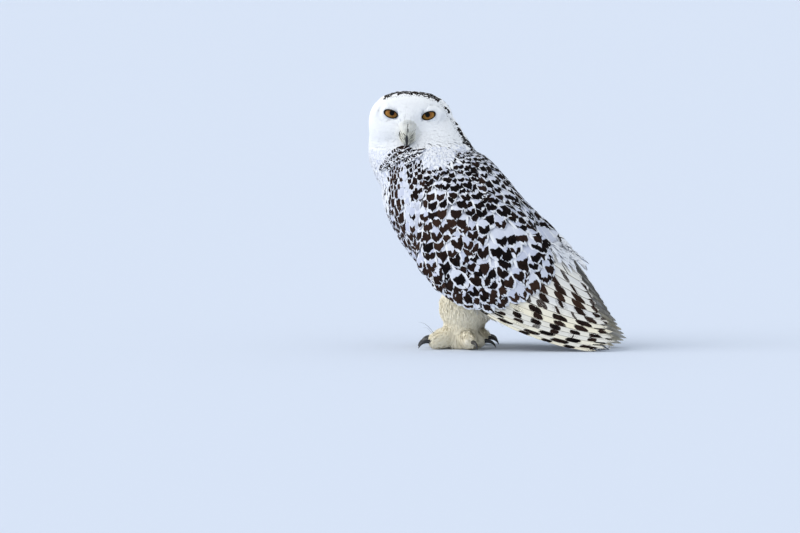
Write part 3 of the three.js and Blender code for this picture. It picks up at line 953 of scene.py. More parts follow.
def principled(name, roughness, **constants):
    """(material, tree, Principled inputs)."""
    material = bpy.data.materials.new(name)
    material.use_nodes = True
    tree = material.node_tree
    shader = tree.nodes["Principled BSDF"].inputs
    shader["Roughness"].default_value = roughness
    for key, value in constants.items():
        shader[key.replace("_", " ")].default_value = value
    return material, Tree(tree), shader


def bumped(t, shader, height, strength, distance):
    bump = t.node("ShaderNodeBump")
    bump.inputs["Strength"].default_value = strength
    bump.inputs["Distance"].default_value = distance
    t.feed(bump.inputs["Height"], height)
    t.feed(shader["Normal"], bump.outputs["Normal"])


def solid(color):
    return (*color, 1.0)


def feather_material(name, depth, white=None, edge=0.0):
    """Plumage with its barbs, its white or cream and its dark marks, as each feather's attributes say.
    depth is how strong the painted shade in the middle of a feather is, edge how dark the painted shadow
    along its rim and the line along its shaft are."""
    if name in bpy.data.materials:
        return bpy.data.materials[name]
    look = bpy.context.scene.owl_plumage
    material, t, shader = principled(name, 0.75, Specular_IOR_Level=0.04)
    vane = t.node("ShaderNodeUVMap", uv_map="Vane").outputs["UV"]
    form = t.attribute("form")
    seed = t.parts(form)[2]
    barbs = t.group("Feather barbs", Vane=vane, Seed=seed)
    pale = t.group(
        "White plumage", Vane=vane, Shade=barbs["Shade"], Stain=t.attribute("stain", "Fac"), Seed=seed,
        Depth=depth, Edge=edge,
        White=solid(white or look.white), Cool=solid(look.painted_shade), Cream=solid(look.cream),
    )
    marks = t.group(
        "Feather markings", Vane=vane, Mark=t.attribute("mark"), Form=form, Browning=look.browning,
        Black=solid(look.black), Brown=solid(look.brown),
    )
    # Undersides are paler than the marks above them.
    mask = t.times(marks["Mask"], t.less(1.0, t.times(t.attribute("below", "Fac"), 0.8)))
    t.feed(shader["Base Color"], t.blend(mask, pale["Color"], marks["Dark"]))
    bumped(t, shader, barbs["Height"], 0.35, 0.0006)
    return material


# ---------- feathers ----------


def skin_places(roots):
    """Each root's place on the unwrap of the skin."""
    _, _, faces, share = made["skin"].nearest(roots)
    return (made["skin_map"][faces] * share[..., None]).sum(1)


def dress(mesh, flat, traits, patch):
    """Each feather laid flat at its patch of the skin's map, and its traits given to all its points."""
    set_map(mesh, "OFBake", (patch[:, None] + flat[None] * PATCH).reshape(-1, 2))
    for key, values in traits.items():
        set_attribute(mesh, key, np.repeat(values, len(flat), axis=0))


def feather_mesh(name, tops, half, shares, halves, traits, patch):
    """Closed vanes. tops are (feather, along, across) grids of points, half is the vane's share of its half
    width along it, halves its length in half widths, traits each feather's values by name, patch its root's
    place on the skin."""
    count, rows, columns = tops.shape[0], tops.shape[1] - 1, tops.shape[2] - 1
    u = np.linspace(-1, 1, columns + 1)
    along = np.linspace(0, 1, rows + 1)
    half = np.broadcast_to(half, (count, rows + 1))
    shares = np.broadcast_to(shares, (count, rows + 1))
    edges = tops[:, :, [0, -1]]
    every = (rows + 1) * (columns + 3)
    points = np.concatenate([tops.reshape(count, -1, 3), edges.reshape(count, -1, 3)], 1).reshape(-1, 3)
    under = np.arange((rows + 1) * (columns + 1), every).reshape(rows + 1, 2)
    lower = np.stack([under[:-1, 1], under[:-1, 0], under[1:, 0], under[1:, 1]], -1)
    one = np.concatenate([grid_faces(rows, columns), lower])
    faces = (one[None] + (np.arange(count) * every)[:, None, None]).reshape(-1, 4)
    mesh = mesh_of(name, points, [faces])
    across = half[:, :, None] * u
    up = np.broadcast_to(((1 - shares) * np.asarray(halves)[:, None])[..., None], across.shape)
    vane = np.stack([across, up], -1)
    vane = np.concatenate([vane.reshape(count, -1, 2), vane[:, :, [0, -1]].reshape(count, -1, 2)], 1)
    set_map(mesh, "Vane", vane.reshape(-1, 2))
    flat = np.stack(np.broadcast_arrays(u[None], along[:, None]), -1) * [0.5, 1] - [0, 0.5]
    flat = np.concatenate([flat.reshape(-1, 2), flat[:, [0, -1]].reshape(-1, 2)])
    dress(mesh, flat, traits, patch)
    below = np.zeros(every)
    below[(rows + 1) * (columns + 1):] = 1
    set_attribute(mesh, "below", np.tile(below, count))
    return mesh


def vane_halves(shares, round_from, stem=0.35):
    """A vane's share of its half width along its length."""
    swell = mix(stem, 1, ease(0, 0.5, shares))
    tip = np.sqrt(np.maximum(0, 1 - (np.maximum(0, shares - round_from) / (1 - round_from)) ** 2))
    return swell * np.maximum(tip, 0.03)


def laid_feathers(
    surface, roots, ways, long, half, rows, columns, rng, *, sink, lift, cup, ragged, round_from,
):
    """(grids of points, shares along, half widths) of feathers laid over the surface. sink is how deep each
    root lies, lift how far its tip stands off."""
    _, normals, _, _ = surface.nearest(roots)
    shares = 1 - (1 - np.linspace(0, 1, rows + 1)) ** 1.5
    u = np.linspace(-1, 1, columns + 1)
    across = np.cross(ways, normals)
    widths = vane_halves(shares, round_from)
    fringe = rng.normal(0, 1, (len(roots), 1, columns + 1)) * ragged * ease(0.5, 1, shares)[None, :, None]
    run = shares[None, :, None] * (1 + fringe)
    bend = rng.normal(0, 0.05, (len(roots), 1, 1)) * long[:, None, None] * run**2
    flat = (
        roots[:, None, None]
        + ways[:, None, None] * (run * long[:, None, None])[..., None]
        + across[:, None, None] * (widths[None, :, None] * u * half[:, None, None] + bend)[..., None]
    )
    places, ups, _, _ = surface.nearest(flat)
    height = -sink[:, None] * ease(0.55, 0, shares) + lift[:, None] * ease(0.3, 1, shares)
    height = height[..., None] - (cup * half)[:, None, None] * (u**2)[None, None]
    height = height + rng.normal(0, 0.03, (len(roots), 1, 1)) * half[:, None, None]
    grid = places + ups * height[..., None]
    grid[..., 2] = np.maximum(grid[..., 2], 0.4)
    return grid, shares, np.broadcast_to(widths, (len(roots), rows + 1))


def scatter(surface, gap_at, keep_at, rng):
    """(places, gaps) of points spread over the surface where keep_at is true, gap_at apart."""
    corners = surface.points[surface.quads]
    area = np.linalg.norm(np.cross(corners[:, 2] - corners[:, 0], corners[:, 3] - corners[:, 1]), axis=-1) / 2
    middle = corners.mean(1)
    gap = gap_at(middle)
    facing = unit(surface.normals[surface.quads].mean(1))
    weight = area / gap**2 * keep_at(middle, facing)
    count = int(weight.sum() * 6)
    chosen = rng.choice(len(area), count, p=weight / weight.sum())
    a, b = rng.random((2, count, 1))
    q = corners[chosen]
    points = mix(mix(q[:, 0], q[:, 1], a), mix(q[:, 3], q[:, 2], a), b)
    gap = gap[chosen]
    tree = tree_of(points)
    free = np.ones(count, bool)
    kept = []
    for i in range(count):
        if free[i]:
            kept.append(i)
            for _, j, _ in tree.find_range(points[i], gap[i]):
                free[j] = False
    return points[kept], gap[kept]


def evened(surface, points, gaps, rounds):
    """The points pushed off near neighbours along the surface, so that they lie more evenly."""
    for _ in range(rounds):
        tree = tree_of(points)
        near = np.array([[j for _, j, _ in tree.find_n(point, 7)] for point in points.tolist()])
        away = points[near[:, :1]] - points[near[:, 1:]]
        far = np.linalg.norm(away, axis=-1)
        push = np.maximum(0, 1.45 * gaps[:, None] - far)
        points, _, _, _ = surface.nearest(points + 0.3 * (unit(away) * push[..., None]).sum(1))
    return points


def turned(ways, normals, spread, rng):
    """The ways, each turned a little at random within the surface."""
    across = np.cross(ways, normals)
    turn = rng.normal(0, spread, len(ways))[:, None]
    return unit(ways * np.cos(turn) + across * np.sin(turn))


def traits_of(spots, bars, tone, cream, width, height, rng):
    """The attributes of feathers with those marks, each a little different."""
    count = len(spots)
    tone = np.clip(tone + rng.normal(0, 0.14, count), 0, 1)
    mark = np.stack([spots, bars, tone], -1)
    form = np.stack([width, height, rng.random(count)], -1)
    return {"mark": mark, "form": form, "stain": np.clip(cream * rng.uniform(0.7, 1.15, count), 0, 1)}


def coat_traits(tips, half, rng, width, height, bear=1.0):
    """The markings of feathers of those half widths with their tips there. Large feathers bear less."""
    spots, barred, tone, cream, tall = marked(tips)
    count = len(tips)
    spotted = spots * bear > rng.uniform(0.2, 0.8, count)
    high = mix(height * mix(1, 1.5, tall), 0.8, barred) * rng.uniform(0.75, 1.25, count)
    wide = mix(width * mix(1, 0.68, tall), 0.92, barred) * rng.uniform(0.85, 1.12, count)
    less = np.clip(10.5 / half, 0.5, 1.0) ** 0.6
    wide, high = wide * less, high * less
    return traits_of(spotted.astype(float), np.zeros(count), tone, cream, np.minimum(wide, 1), high, rng)


def make_coat(
    name, material, keep_at, seed, *, rows, columns, long, half, sink, lift, cup, ragged, dense,
    width=0.62, height=0.8, bear=1.0, loose=0.1, round_from=0.62, even=0, stop_at=None,
):
    """A piece of the coat: feathers over the surface wherever keep_at is true. Sizes are in spacings. bear is
    the share of the marks that it bears, even the rounds of pushing apart, stop_at where its tips may lie."""
    surface = made["coat"]
    rng = np.random.default_rng(seed)
    scale = bpy.context.scene.owl_plumage.spacing
    points, gaps = scatter(surface, lambda p: dense * scale * spacing(p), keep_at, rng)
    points = evened(surface, points, gaps, even)
    gaps = gaps / dense
    _, normals, _, _ = surface.nearest(points)
    ways = turned(lie(points, normals), normals, loose, rng)
    if stop_at is not None:
        tips = points + ways * (gaps * long)[:, None]
        keep = stop_at(tips)
        points, normals, ways, gaps = points[keep], normals[keep], ways[keep], gaps[keep]
    count = len(points)
    size = gaps * rng.uniform(0.88, 1.14, count)
    deep = coat_depth(points) * sink
    grid, shares, widths = laid_feathers(
        surface, points, ways, size * long, size * half, rows, columns, rng, sink=deep,
        lift=size * lift * rng.uniform(0.6, 1.5, count), cup=cup, ragged=ragged, round_from=round_from,
    )
    clear = ~opening(grid, 0.4).any((1, 2))
    if stop_at is not None:
        clear &= stop_at(grid[:, 3:, ::3], 12, 0.98).all((1, 2))
    grid, widths, points, count = grid[clear], widths[clear], points[clear], int(clear.sum())
    traits = coat_traits(grid[:, -2, columns // 2], (size * half)[clear], rng, width, height, bear)
    mesh = feather_mesh(name, grid, widths, shares, np.full(count, long / half), traits, skin_places(points))
    add_piece(name, mesh, material)


# ---------- eyes, lids, bill and claws ----------


def opening(points, grow):
    """Whether points lie within the lids' opening of either eye, seen along the line of sight."""
    inside = np.zeros(points.shape[:-1], bool)
    c, k = math.cos(EYE["tilt"] * DEG), math.sin(EYE["tilt"] * DEG)
    for side in (1, -1):
        f = lid_frame(side)
        local = (points - f[:3, 3]) @ f[:3, :3]
        x = local[..., 0] * side + EYE["inset"]
        z = local[..., 2] + EYE["drop"]
        along, up = x * c + z * k, z * c - x * k
        oval = (along / (EYE["wide"] + grow)) ** 2 + (up / (EYE["high"] + grow)) ** 2 < 1
        inside |= oval & (up < EYE["top"] + grow) & (local[..., 1] > 0)
    return inside


def lid_edge(side, count, grow=0.0):
    """Points of the lids' opening in the lids' frame, as x and z."""
    a = np.linspace(0, 2 * math.pi, count, endpoint=False)
    c, k = math.cos(EYE["tilt"] * DEG), math.sin(EYE["tilt"] * DEG)
    along = (EYE["wide"] + grow) * np.cos(a)
    up = (EYE["high"] + grow) * np.sin(a)
    up = np.where(up > 0, up * (EYE["top"] + grow) / (EYE["high"] + grow), up)
    return side * (along * c - up * k - EYE["inset"]), along * k + up * c - EYE["drop"]


def on_ball(side, x, z, radius):
    """Points on a ball round the eye's middle, from x and z of the lids' frame."""
    y = np.sqrt(np.maximum(radius**2 - x**2 - z**2, 0))
    return move(lid_frame(side), np.stack([x, y, z], -1))


def ring_tube(line, radius):
    """(points, quads) of a tube round a closed line of points."""
    columns = 8
    along = unit(np.roll(line, -1, 0) - np.roll(line, 1, 0))
    out = unit(line - line.mean(0))
    out = unit(out - along * (out * along).sum(-1, keepdims=True))
    deep = np.cross(along, out)
    a = np.linspace(0, 2 * math.pi, columns, endpoint=False)[None, :, None]
    points = line[:, None] + radius[:, None, None] * (out[:, None] * np.cos(a) + deep[:, None] * np.sin(a))
    index = np.arange(len(line) * columns).reshape(len(line), columns)
    after, beyond = np.roll(index, -1, 1), np.roll(index, -1, 0)
    quads = np.stack([index, after, np.roll(beyond, -1, 1), beyond], -1).reshape(-1, 4)
    return points.reshape(-1, 3), quads


def make_eye(side, name, node, material):
    """An eyeball whose clear front bulges a little, with its pupil and iris round the line of sight."""
    middle = eye_frame(side)[:3, 3]
    inward = unit(np.cross(SIGHT, [0, 0, 1.0])) * -side
    toe = EYE["toe_in"] * DEG
    aim = unit(SIGHT * math.cos(toe) + inward * math.sin(toe))
    across = unit(np.cross(aim, [0, 0, 1.0]))
    upward = np.cross(across, aim)
    rows, columns = 72, 80
    polar = np.linspace(0, math.pi, rows + 1)
    a, b = np.meshgrid(polar, np.linspace(0, 2 * math.pi, columns, endpoint=False), indexing="ij")
    radius = (EYE["radius"] + 0.8 * ease(46 * DEG, 16 * DEG, a))[..., None]
    way = (
        np.cos(a)[..., None] * aim
        + (np.sin(a) * np.cos(b))[..., None] * across
        + (np.sin(a) * np.sin(b))[..., None] * upward
    )
    mesh = mesh_of(name, (middle + way * radius).reshape(-1, 3), [ring_faces(rows, columns)])
    set_attribute(mesh, "aim", (a / DEG).ravel())
    set_attribute(mesh, "turn", np.stack([np.cos(b), np.sin(b), a], -1).reshape(-1, 3))
    add_piece(name, mesh, material, (node,))


def eye_material():
    look = bpy.context.scene.owl_head
    material, t, shader = principled(
        "Owl eye", 0.25, Coat_Weight=0.12, Coat_Roughness=0.04, Specular_IOR_Level=0.05,
    )
    aim = t.attribute("aim", "Fac")
    turn = t.attribute("turn")
    streak = t.grain(turn, 7.0, 4.0, 0.7)
    blotch = t.grain(turn, 1.3, 2.0)
    height = t.parts(turn)[1]
    level = t.add(aim, t.times(t.less(streak, 0.5), 10.0))
    iris = t.blend(t.rise(level, 20, 40), solid(look.iris_inner), solid(look.iris_outer))
    iris = t.blend(t.times(t.rise(blotch, 0.4, 0.7), 0.5), iris, (0.40, 0.27, 0.07, 1))
    iris = t.blend(t.times(t.rise(streak, 0.45, 0.72), 0.4), iris, (0.16, 0.06, 0.015, 1))
    # Painted shadow of the brow: the upper part of the iris is darkened.
    iris = t.blend(t.times(t.rise(height, -0.2, 0.9), 0.45), iris, (0.10, 0.035, 0.012, 1))
    iris = t.blend(t.rise(level, 44, 56), iris, (0.035, 0.016, 0.010, 1))
    edge = t.rise(aim, look.pupil - 0.7, look.pupil + 0.9)
    t.feed(shader["Base Color"], t.blend(edge, (0.0015, 0.0015, 0.0015, 1), iris))
    return material


def make_lids(side, name, material, bare):
    """The lids: a shell over the eyeball round their opening, and its dark bare rim."""
    count, rows = 64, 8
    x, z = lid_edge(side, count)
    start = np.arcsin(np.clip(np.hypot(x, z) / (EYE["radius"] + 1), 0, 1))
    v = np.linspace(0, 1, rows + 1)[:, None]
    polar = mix(start[None], 84 * DEG, v)
    turn = np.arctan2(z, x)[None]
    shells = []
    for radius in (EYE["radius"] + 1.75 - 0.2 * (1 - v) ** 4, EYE["radius"] + 0.35):
        ring = np.sin(polar) * radius
        local = np.stack([ring * np.cos(turn), np.cos(polar) * radius, ring * np.sin(turn)], -1)
        shells.append(move(lid_frame(side), local).reshape(-1, 3))
    quads = ring_faces(rows, count)
    total = (rows + 1) * count
    first = np.arange(count)
    last = first + rows * count
    walls = [
        np.stack([first, first + total, np.roll(first, -1) + total, np.roll(first, -1)], -1),
        np.stack([np.roll(last, -1), np.roll(last, -1) + total, last + total, last], -1),
    ]
    mesh = mesh_of(name, np.concatenate(shells), [np.concatenate([quads, quads[:, ::-1] + total, *walls])])
    add_piece(name, mesh, material)
    x, z = lid_edge(side, count, -0.5)
    line = on_ball(side, x, z, EYE["radius"] + 1.2)
    # The dark bare rim is thicker along the top, partly real rim and partly painted shadow of the brow over
    # the eye.
    points, quads = ring_tube(line, mix(0.65, 1.05, ease(-2, 4, z)))
    add_piece(name + "_rim", mesh_of(name + "_rim", points, [quads]), bare)


def make_brow(side, name, material):
    """Small stiff feathers round the lids that lie away from the eye and, on its outer side, on the coat."""
    rng = np.random.default_rng(300 + side)
    count, rows, columns = 900, 4, 2
    a = rng.uniform(0, 2 * math.pi, count)
    rise = rng.uniform(0.5, 5.5, count)
    c, k = math.cos(EYE["tilt"] * DEG), math.sin(EYE["tilt"] * DEG)
    along, up = (EYE["wide"] + rise) * np.cos(a), (EYE["high"] + rise) * np.sin(a)
    root = np.stack([along * c - up * k - EYE["inset"], along * k + up * c - EYE["drop"]], -1)
    way = np.stack([np.cos(a) + 0.5 * np.abs(np.sin(a)), np.sin(a)], -1)
    way = unit(way + rng.normal(0, 0.15, (count, 2)))
    flank = np.stack([-way[:, 1], way[:, 0]], -1)
    shares = np.linspace(0, 1, rows + 1)
    u = np.linspace(-1, 1, columns + 1)
    widths = vane_halves(shares, 0.6)
    long, half = rng.uniform(3.5, 6.5, count), 0.85
    flat = (
        root[:, None, None]
        + way[:, None, None] * (shares[None, :, None] * long[:, None, None])[..., None]
        + flank[:, None, None] * (widths[None, :, None] * u * half)[..., None]
    )
    swell = 0.5 * np.sin(math.pi * shares) - 1.6 * shares**3
    reach = EYE["radius"] + 1.5 + swell[None, :, None] + 0 * flat[..., 0]
    deep = np.sqrt(np.maximum(reach**2 - flat[..., 0] ** 2 * 0.72 - flat[..., 1] ** 2 * 0.72, 9))
    grid = move(lid_frame(side), np.stack([flat[..., 0] * side, deep, flat[..., 1]], -1))
    places, ups, _, _ = made["coat"].nearest(grid)
    held = ease(12, 17, np.hypot(flat[..., 0], flat[..., 1])) * ease(3, 11, flat[..., 0])
    grid = mix(grid, places + ups * 0.5, held[..., None])
    zero = np.zeros(count)
    traits = traits_of(zero, zero, zero, zero, zero + 0.5, zero + 0.5, rng)
    patch = skin_places(grid[:, 0, 1])
    mesh = feather_mesh(name, grid, widths, shares, long / half, traits, patch)
    add_piece(name, mesh, material)


def rim_material():
    material, t, shader = principled("Owl lid rim", 0.7, Specular_IOR_Level=0.2)
    coordinates = object_place(t)
    fine = t.grain(coordinates, 900.0, 3.0)
    t.feed(shader["Base Color"], t.blend(fine, (0.004, 0.003, 0.003, 1), (0.02, 0.012, 0.009, 1)))
    bumped(t, shader, fine, 0.3, 0.0002)
    return material


def horn_material(name, dark, light, roughness):
    if name in bpy.data.materials:
        return bpy.data.materials[name]
    material, t, shader = principled(name, roughness, Coat_Weight=0.3, Coat_Roughness=0.25)
    coordinates = object_place(t)
    broad = t.grain(coordinates, 120.0, 3.0)
    fine = t.grain(coordinates, 1500.0, 3.0)
    t.feed(shader["Base Color"], t.blend(t.rise(broad, 0.35, 0.7), dark, light))
    bumped(t, shader, fine, 0.2, 0.0002)
    return material


def make_bill(material):
    for node, stations in (("bill_upper", UPPER_BILL), ("bill_lower", LOWER_BILL)):
        name = node + "_horn"
        points, quads = loft(stations, 24, 28, 0.14)
        add_piece(name, mesh_of(name, move(HEAD_FRAME, points), [quads]), material, (node,))


def make_claw(node, material):
    """The claw's solid with its corners welded and its faces rounded."""
    points, quads = node_shape(node)
    points, index = np.unique(np.round(points, 2), axis=0, return_inverse=True)
    faces = [list(dict.fromkeys(q)) for q in index.ravel()[quads].tolist()]
    faces = [face for face in faces if len(face) > 2]
    mesh = bpy.data.meshes.new(node + "_rough")
    mesh.from_pydata(metres(points).tolist(), [], faces)
    piece = linked(node + "_rough", mesh)
    modifier = piece.modifiers.new("round", "SUBSURF")
    modifier.levels = 2
    smooth = evaluated(piece)
    smooth.name = node + "_horn"
    bpy.data.objects.remove(piece)
    bpy.data.meshes.remove(mesh)
    smooth.polygons.foreach_set("use_smooth", np.ones(len(smooth.polygons), bool))
    add_piece(node + "_horn", smooth, material, (node,))


def hair_mesh(name, lines, radius, traits, patch):
    """Closed tapering hairs of three sides. lines are (hair, along) points, radius each one's at its root."""
    count, rows = lines.shape[0], lines.shape[1] - 1
    along = unit(np.gradient(lines, axis=1))
    side = unit(np.cross(along, [0.31, 0.22, 0.92]))
    deep = np.cross(along, side)
    thin = mix(1, 0.12, np.linspace(0, 1, rows + 1) ** 1.5)
    a = np.linspace(0, 2 * math.pi, 3, endpoint=False)[:, None]
    ring = lines[:, :, None] + (radius[:, None] * thin)[..., None, None] * (
        side[:, :, None] * np.cos(a) + deep[:, :, None] * np.sin(a)
    )
    every = (rows + 1) * 3
    starts = (np.arange(count) * every)[:, None, None]
    quads = (ring_faces(rows, 3)[None] + starts).reshape(-1, 4)
    ends = np.array([[2, 1, 0], [every - 3, every - 2, every - 1]])
    mesh = mesh_of(name, ring.reshape(-1, 3), [quads, (ends[None] + starts).reshape(-1, 3)])
    up, across = np.meshgrid(np.linspace(0, 1, rows + 1), [-0.3, 0.0, 0.3], indexing="ij")
    flat = np.stack([across, up], -1).reshape(-1, 2) - [0, 0.5]
    dress(mesh, flat, traits, patch)
    return mesh


def bristle_material():
    if "Owl bristle" in bpy.data.materials:
        return bpy.data.materials["Owl bristle"]
    look = bpy.context.scene.owl_head
    material, t, shader = principled("Owl bristle", 0.7, Specular_IOR_Level=0.2)
    coordinates = object_place(t)
    fine = t.grain(coordinates, 700.0, 2.0)
    pale = t.blend(t.attribute("pale", "Fac"), solid(look.bristle), (0.92, 0.925, 0.92, 1))
    pale = t.blend(t.times(fine, 0.25), pale, (0.36, 0.36, 0.33, 1))
    t.feed(shader["Base Color"], t.blend(t.attribute("dark", "Fac"), pale, (0.012, 0.012, 0.014, 1)))
    return material


def over_bill(x, z):
    """Points in the head's frame just outside the face and the bill."""
    way = HEAD_FRAME[:3, 1]
    before_face, no_face = 110.0, 40
    flat_x, flat_z = x.ravel(), z.ravel()
    start = move(HEAD_FRAME, np.stack([flat_x, np.full(x.size, before_face), flat_z], -1))
    face = np.empty(x.size)
    for i, point in enumerate(start.tolist()):
        place, _, _, away = made["coat"].tree.ray_cast(point, (-way).tolist())
        face[i] = before_face - away if place else no_face
    ridge = np.interp(-flat_z, RIDGE_DOWN, RIDGE_OUT)
    bare = ease(3, 15, np.abs(flat_x))
    y = np.maximum(face, mix(ridge, face, bare)) + 0.8
    return np.stack([flat_x, y, flat_z], -1).reshape(*x.shape, 3)


def make_bristles(name, material):
    """Stiff hair-like feathers from the lores that close over the bill and run to its tip."""
    rng = np.random.default_rng(321)
    count = bpy.context.scene.owl_head.bristles
    side = rng.choice([-1, 1], count)
    x0 = side * BRISTLES["aside"] * rng.random(count) ** 0.8
    z0 = mix(BRISTLES["bottom"] + 0.02 * x0**2, BRISTLES["top"] - 0.035 * x0**2, rng.random(count))
    x1 = side * np.maximum(np.abs(x0) * rng.uniform(0.25, 0.55, count), 0.3)
    z1 = np.maximum(z0 - rng.uniform(9, 17, count), BRISTLES["tip"] + 0.35 * np.abs(x0))
    dark = np.zeros(count)
    fine = (rng.random(count) < 0.045) & (z0 < -2) & (np.abs(x0) > 3) & (np.abs(x0) < 15)
    dark[fine] = rng.uniform(0.35, 0.8, fine.sum())
    hairs = np.array(DARK_HAIRS, float)
    k = len(hairs)
    x0[:k], z0[:k], x1[:k], z1[:k] = hairs[:, 0], hairs[:, 1], hairs[:, 2], hairs[:, 3]
    dark[:k] = 1
    side[:k] = np.where(hairs[:, 0] < 0, -1, 1)
    t = np.linspace(0, 1, 9)[None]
    x = mix(x0[:, None], x1[:, None], t)
    x = x + side[:, None] * np.sin(math.pi * t) * 0.06 * np.abs(z1 - z0)[:, None]
    z = mix(z0[:, None], z1[:, None], t)
    keep_off = np.interp(-z, [13, 19, 27, 33], [0, 3.2, 2.6, 1.6])
    x = side[:, None] * np.maximum(np.abs(x), np.where(dark[:, None] < 1, keep_off, 0))
    lines = over_bill(x, z)
    lift = rng.uniform(0, 1.5, count) * ease(20, 8, np.abs(x0))
    lift[fine] = rng.uniform(1.4, 2.3, fine.sum())
    lift[:k] = BRISTLES["stand"]
    arch = np.sin(math.pi * np.clip(0.15 + 0.7 * t, 0, 1))
    lines[..., 1] += lift[:, None] * arch - BRISTLES["stand"] * (1 - t) ** 4
    lines = move(HEAD_FRAME, lines)
    radius = np.where(dark > 0, 0.24, rng.uniform(0.3, 0.5, count))
    radius[:k] = hairs[:, 4] * 1.1
    pale = np.clip(0.8 * ease(-12, 8, z0) + ease(13, 23, np.abs(x0)) + rng.normal(0, 0.2, count), 0, 1)
    mesh = hair_mesh(name, lines, radius, {"dark": dark, "pale": pale}, skin_places(lines[:, 0]))
    add_piece(name, mesh, material)


def make_toe_hair(name, material):
    """The long loose hairs that stand off the front toe."""
    t = np.linspace(0, 1, 9)[:, None]
    lines = []
    for start, end in TOE_HAIRS:
        root, _, _, _ = made["coat"].nearest(np.array([start], float))
        bend = np.array([0, 0, 5.0]) * np.sin(math.pi * t)
        lines.append(mix(root, np.array(end, float), t) + bend - [0, 0, 1.0])
    lines = np.stack(lines)
    traits = {"dark": np.array([0.9, 0.7]), "pale": np.zeros(2)}
    mesh = hair_mesh(name, lines, np.array([0.4, 0.3]), traits, skin_places(lines[:, 0]))
    add_piece(name, mesh, material)


# ---------- skin ----------


def skin_material():
    """Pale down under the feathers, with the dark marks of the feathers over it."""
    look = bpy.context.scene.owl_plumage
    material, t, shader = principled("Owl down", 0.95, Sheen_Weight=0.1)
    coordinates = object_place(t)
    fine = t.grain(coordinates, 420.0, 4.0, 0.65)
    wobble = t.node("ShaderNodeVectorMath", operation="MULTIPLY_ADD")
    t.feed(wobble.inputs[0], t.vector(fine, fine, fine))
    wobble.inputs[1].default_value = (0.006, 0.006, 0.006)
    t.feed(wobble.inputs[2], coordinates)
    cells = t.node("ShaderNodeTexVoronoi", feature="F1")
    t.feed(cells.inputs["Vector"], wobble.outputs[0])
    cells.inputs["Scale"].default_value = 62.0
    spot = t.times(t.rise(cells.outputs["Distance"], 0.46, 0.36), t.attribute("marked", "Fac"))
    # Mottled at random between white and the colour of the feathers' painted shade.
    white = t.blend(fine, solid(look.painted_shade), solid(look.white))
    white = t.blend(t.attribute("stain", "Fac"), white, solid(look.cream))
    dark = t.blend(t.attribute("tone", "Fac"), solid(look.black), solid(look.brown))
    t.feed(shader["Base Color"], t.blend(t.times(spot, 0.85), white, dark))
    bumped(t, shader, fine, 0.5, 0.0012)
    return material


def make_skin():
    """One skin for the whole bird, under the plumage."""
    shapes = body_shapes()
    body = surface_of(shapes, "body")
    made["coat"] = surface_of(shapes + [wing_cover(side) for side in (1, -1)], "cover")
    points = body.points - body.normals * coat_depth(body.points)[:, None]
    points = relaxed(points, body.quads, 4)
    for side in (1, -1):
        middle = eye_frame(side)[:3, 3]
        away = points - middle
        far = np.linalg.norm(away, axis=-1)
        held = far < EYE["radius"] + 1
        points[held] = middle + away[held] * (np.minimum(far, EYE["radius"] - 2) / far)[held, None]
        f = lid_frame(side)
        local = (points - f[:3, 3]) @ f[:3, :3]
        round_eye = (EYE["radius"] + 0.5) ** 2 - local[:, 0] ** 2 - local[:, 2] ** 2
        behind = np.sqrt(np.maximum(round_eye, 4)) - 2.5
        hides = opening(points, 2.0) & (local[:, 1] > behind) & (np.abs(local[:, 0]) < 20)
        points[hides] -= SIGHT * (local[:, 1] - behind)[hides, None]
    points[:, 2] = np.maximum(points[:, 2], 0.8)
    mesh = mesh_of("owl_skin", points, [body.quads])
    spots, _, tone, cream, _ = marked(points)
    set_attribute(mesh, "marked", spots)
    set_attribute(mesh, "tone", np.clip(tone, 0, 1))
    set_attribute(mesh, "stain", cream)
    nodes = ["torso", "neck", "head", "wing_left", "wing_right", "tail"]
    nodes += [part + side for part in ("leg_", "foot_") for side in LEGS]
    skin = add_piece("owl_skin", mesh, skin_material(), nodes)
    bpy.context.view_layer.objects.active = skin
    skin.select_set(True)
    mesh.uv_layers.new(name="OFBake")
    bpy.ops.object.mode_set(mode="EDIT")
    bpy.ops.mesh.select_all(action="SELECT")
    bpy.ops.uv.smart_project(angle_limit=70 * DEG, island_margin=0.004)
    bpy.ops.object.mode_set(mode="OBJECT")
    skin.select_set(False)
    places = np.empty(len(mesh.loops) * 2)
    mesh.uv_layers["OFBake"].data.foreach_get("uv", places)
    made["skin"] = Surface(points, body.quads)
    made["skin_map"] = places.reshape(-1, 4, 2)


# ---------- the coat ----------


def on_body(points, normals):
    """Where the body's own feathers root: not on the head or legs, nor under the wings."""
    free = (head_share(points) < 0.5) & (leg_share(points) < 0.5)
    side = np.sign(points[..., 0])
    _, row = wing_place(points[..., 1], points[..., 2])
    out = np.abs(points[..., 0]) > wing_out(points[..., 1], points[..., 2]) - 26
    under = (row > 0.3) & out & (normals[..., 0] * side < 0.0)
    return free & ~under


def above_covert_tips(points, depth=26, limit=0.86):
    """Whether points lie off the wing, or in its rows above limit, and not below the rump."""
    _, row = wing_place(points[..., 1], points[..., 2])
    out = np.abs(points[..., 0]) > wing_out(points[..., 1], points[..., 2]) - depth
    return (~out | (row < limit)) & (down_body(points) < 256)


def on_head(points, normals):
    """On the head, off the eyes and the bill."""
    head = in_head(points)
    nose = (np.abs(head[..., 0]) < 5.5) & (head[..., 2] < 0) & (head[..., 2] > -32) & (head[..., 1] > 30)
    return (head_share(points) >= 0.5) & ~opening(points, 0.8) & ~nose


def on_face(points, normals):
    return on_head(points, normals) & (crown_share(points) < 0.5)


def on_crown(points, normals):
    return on_head(points, normals) & (crown_share(points) >= 0.5)


def on_leg(points, normals):
    return leg_share(points) > 0.5


def on_rump(points, normals):
    return (rump_share(points) > 0.2) & (normals[..., 1] + normals[..., 2] > 0.1)


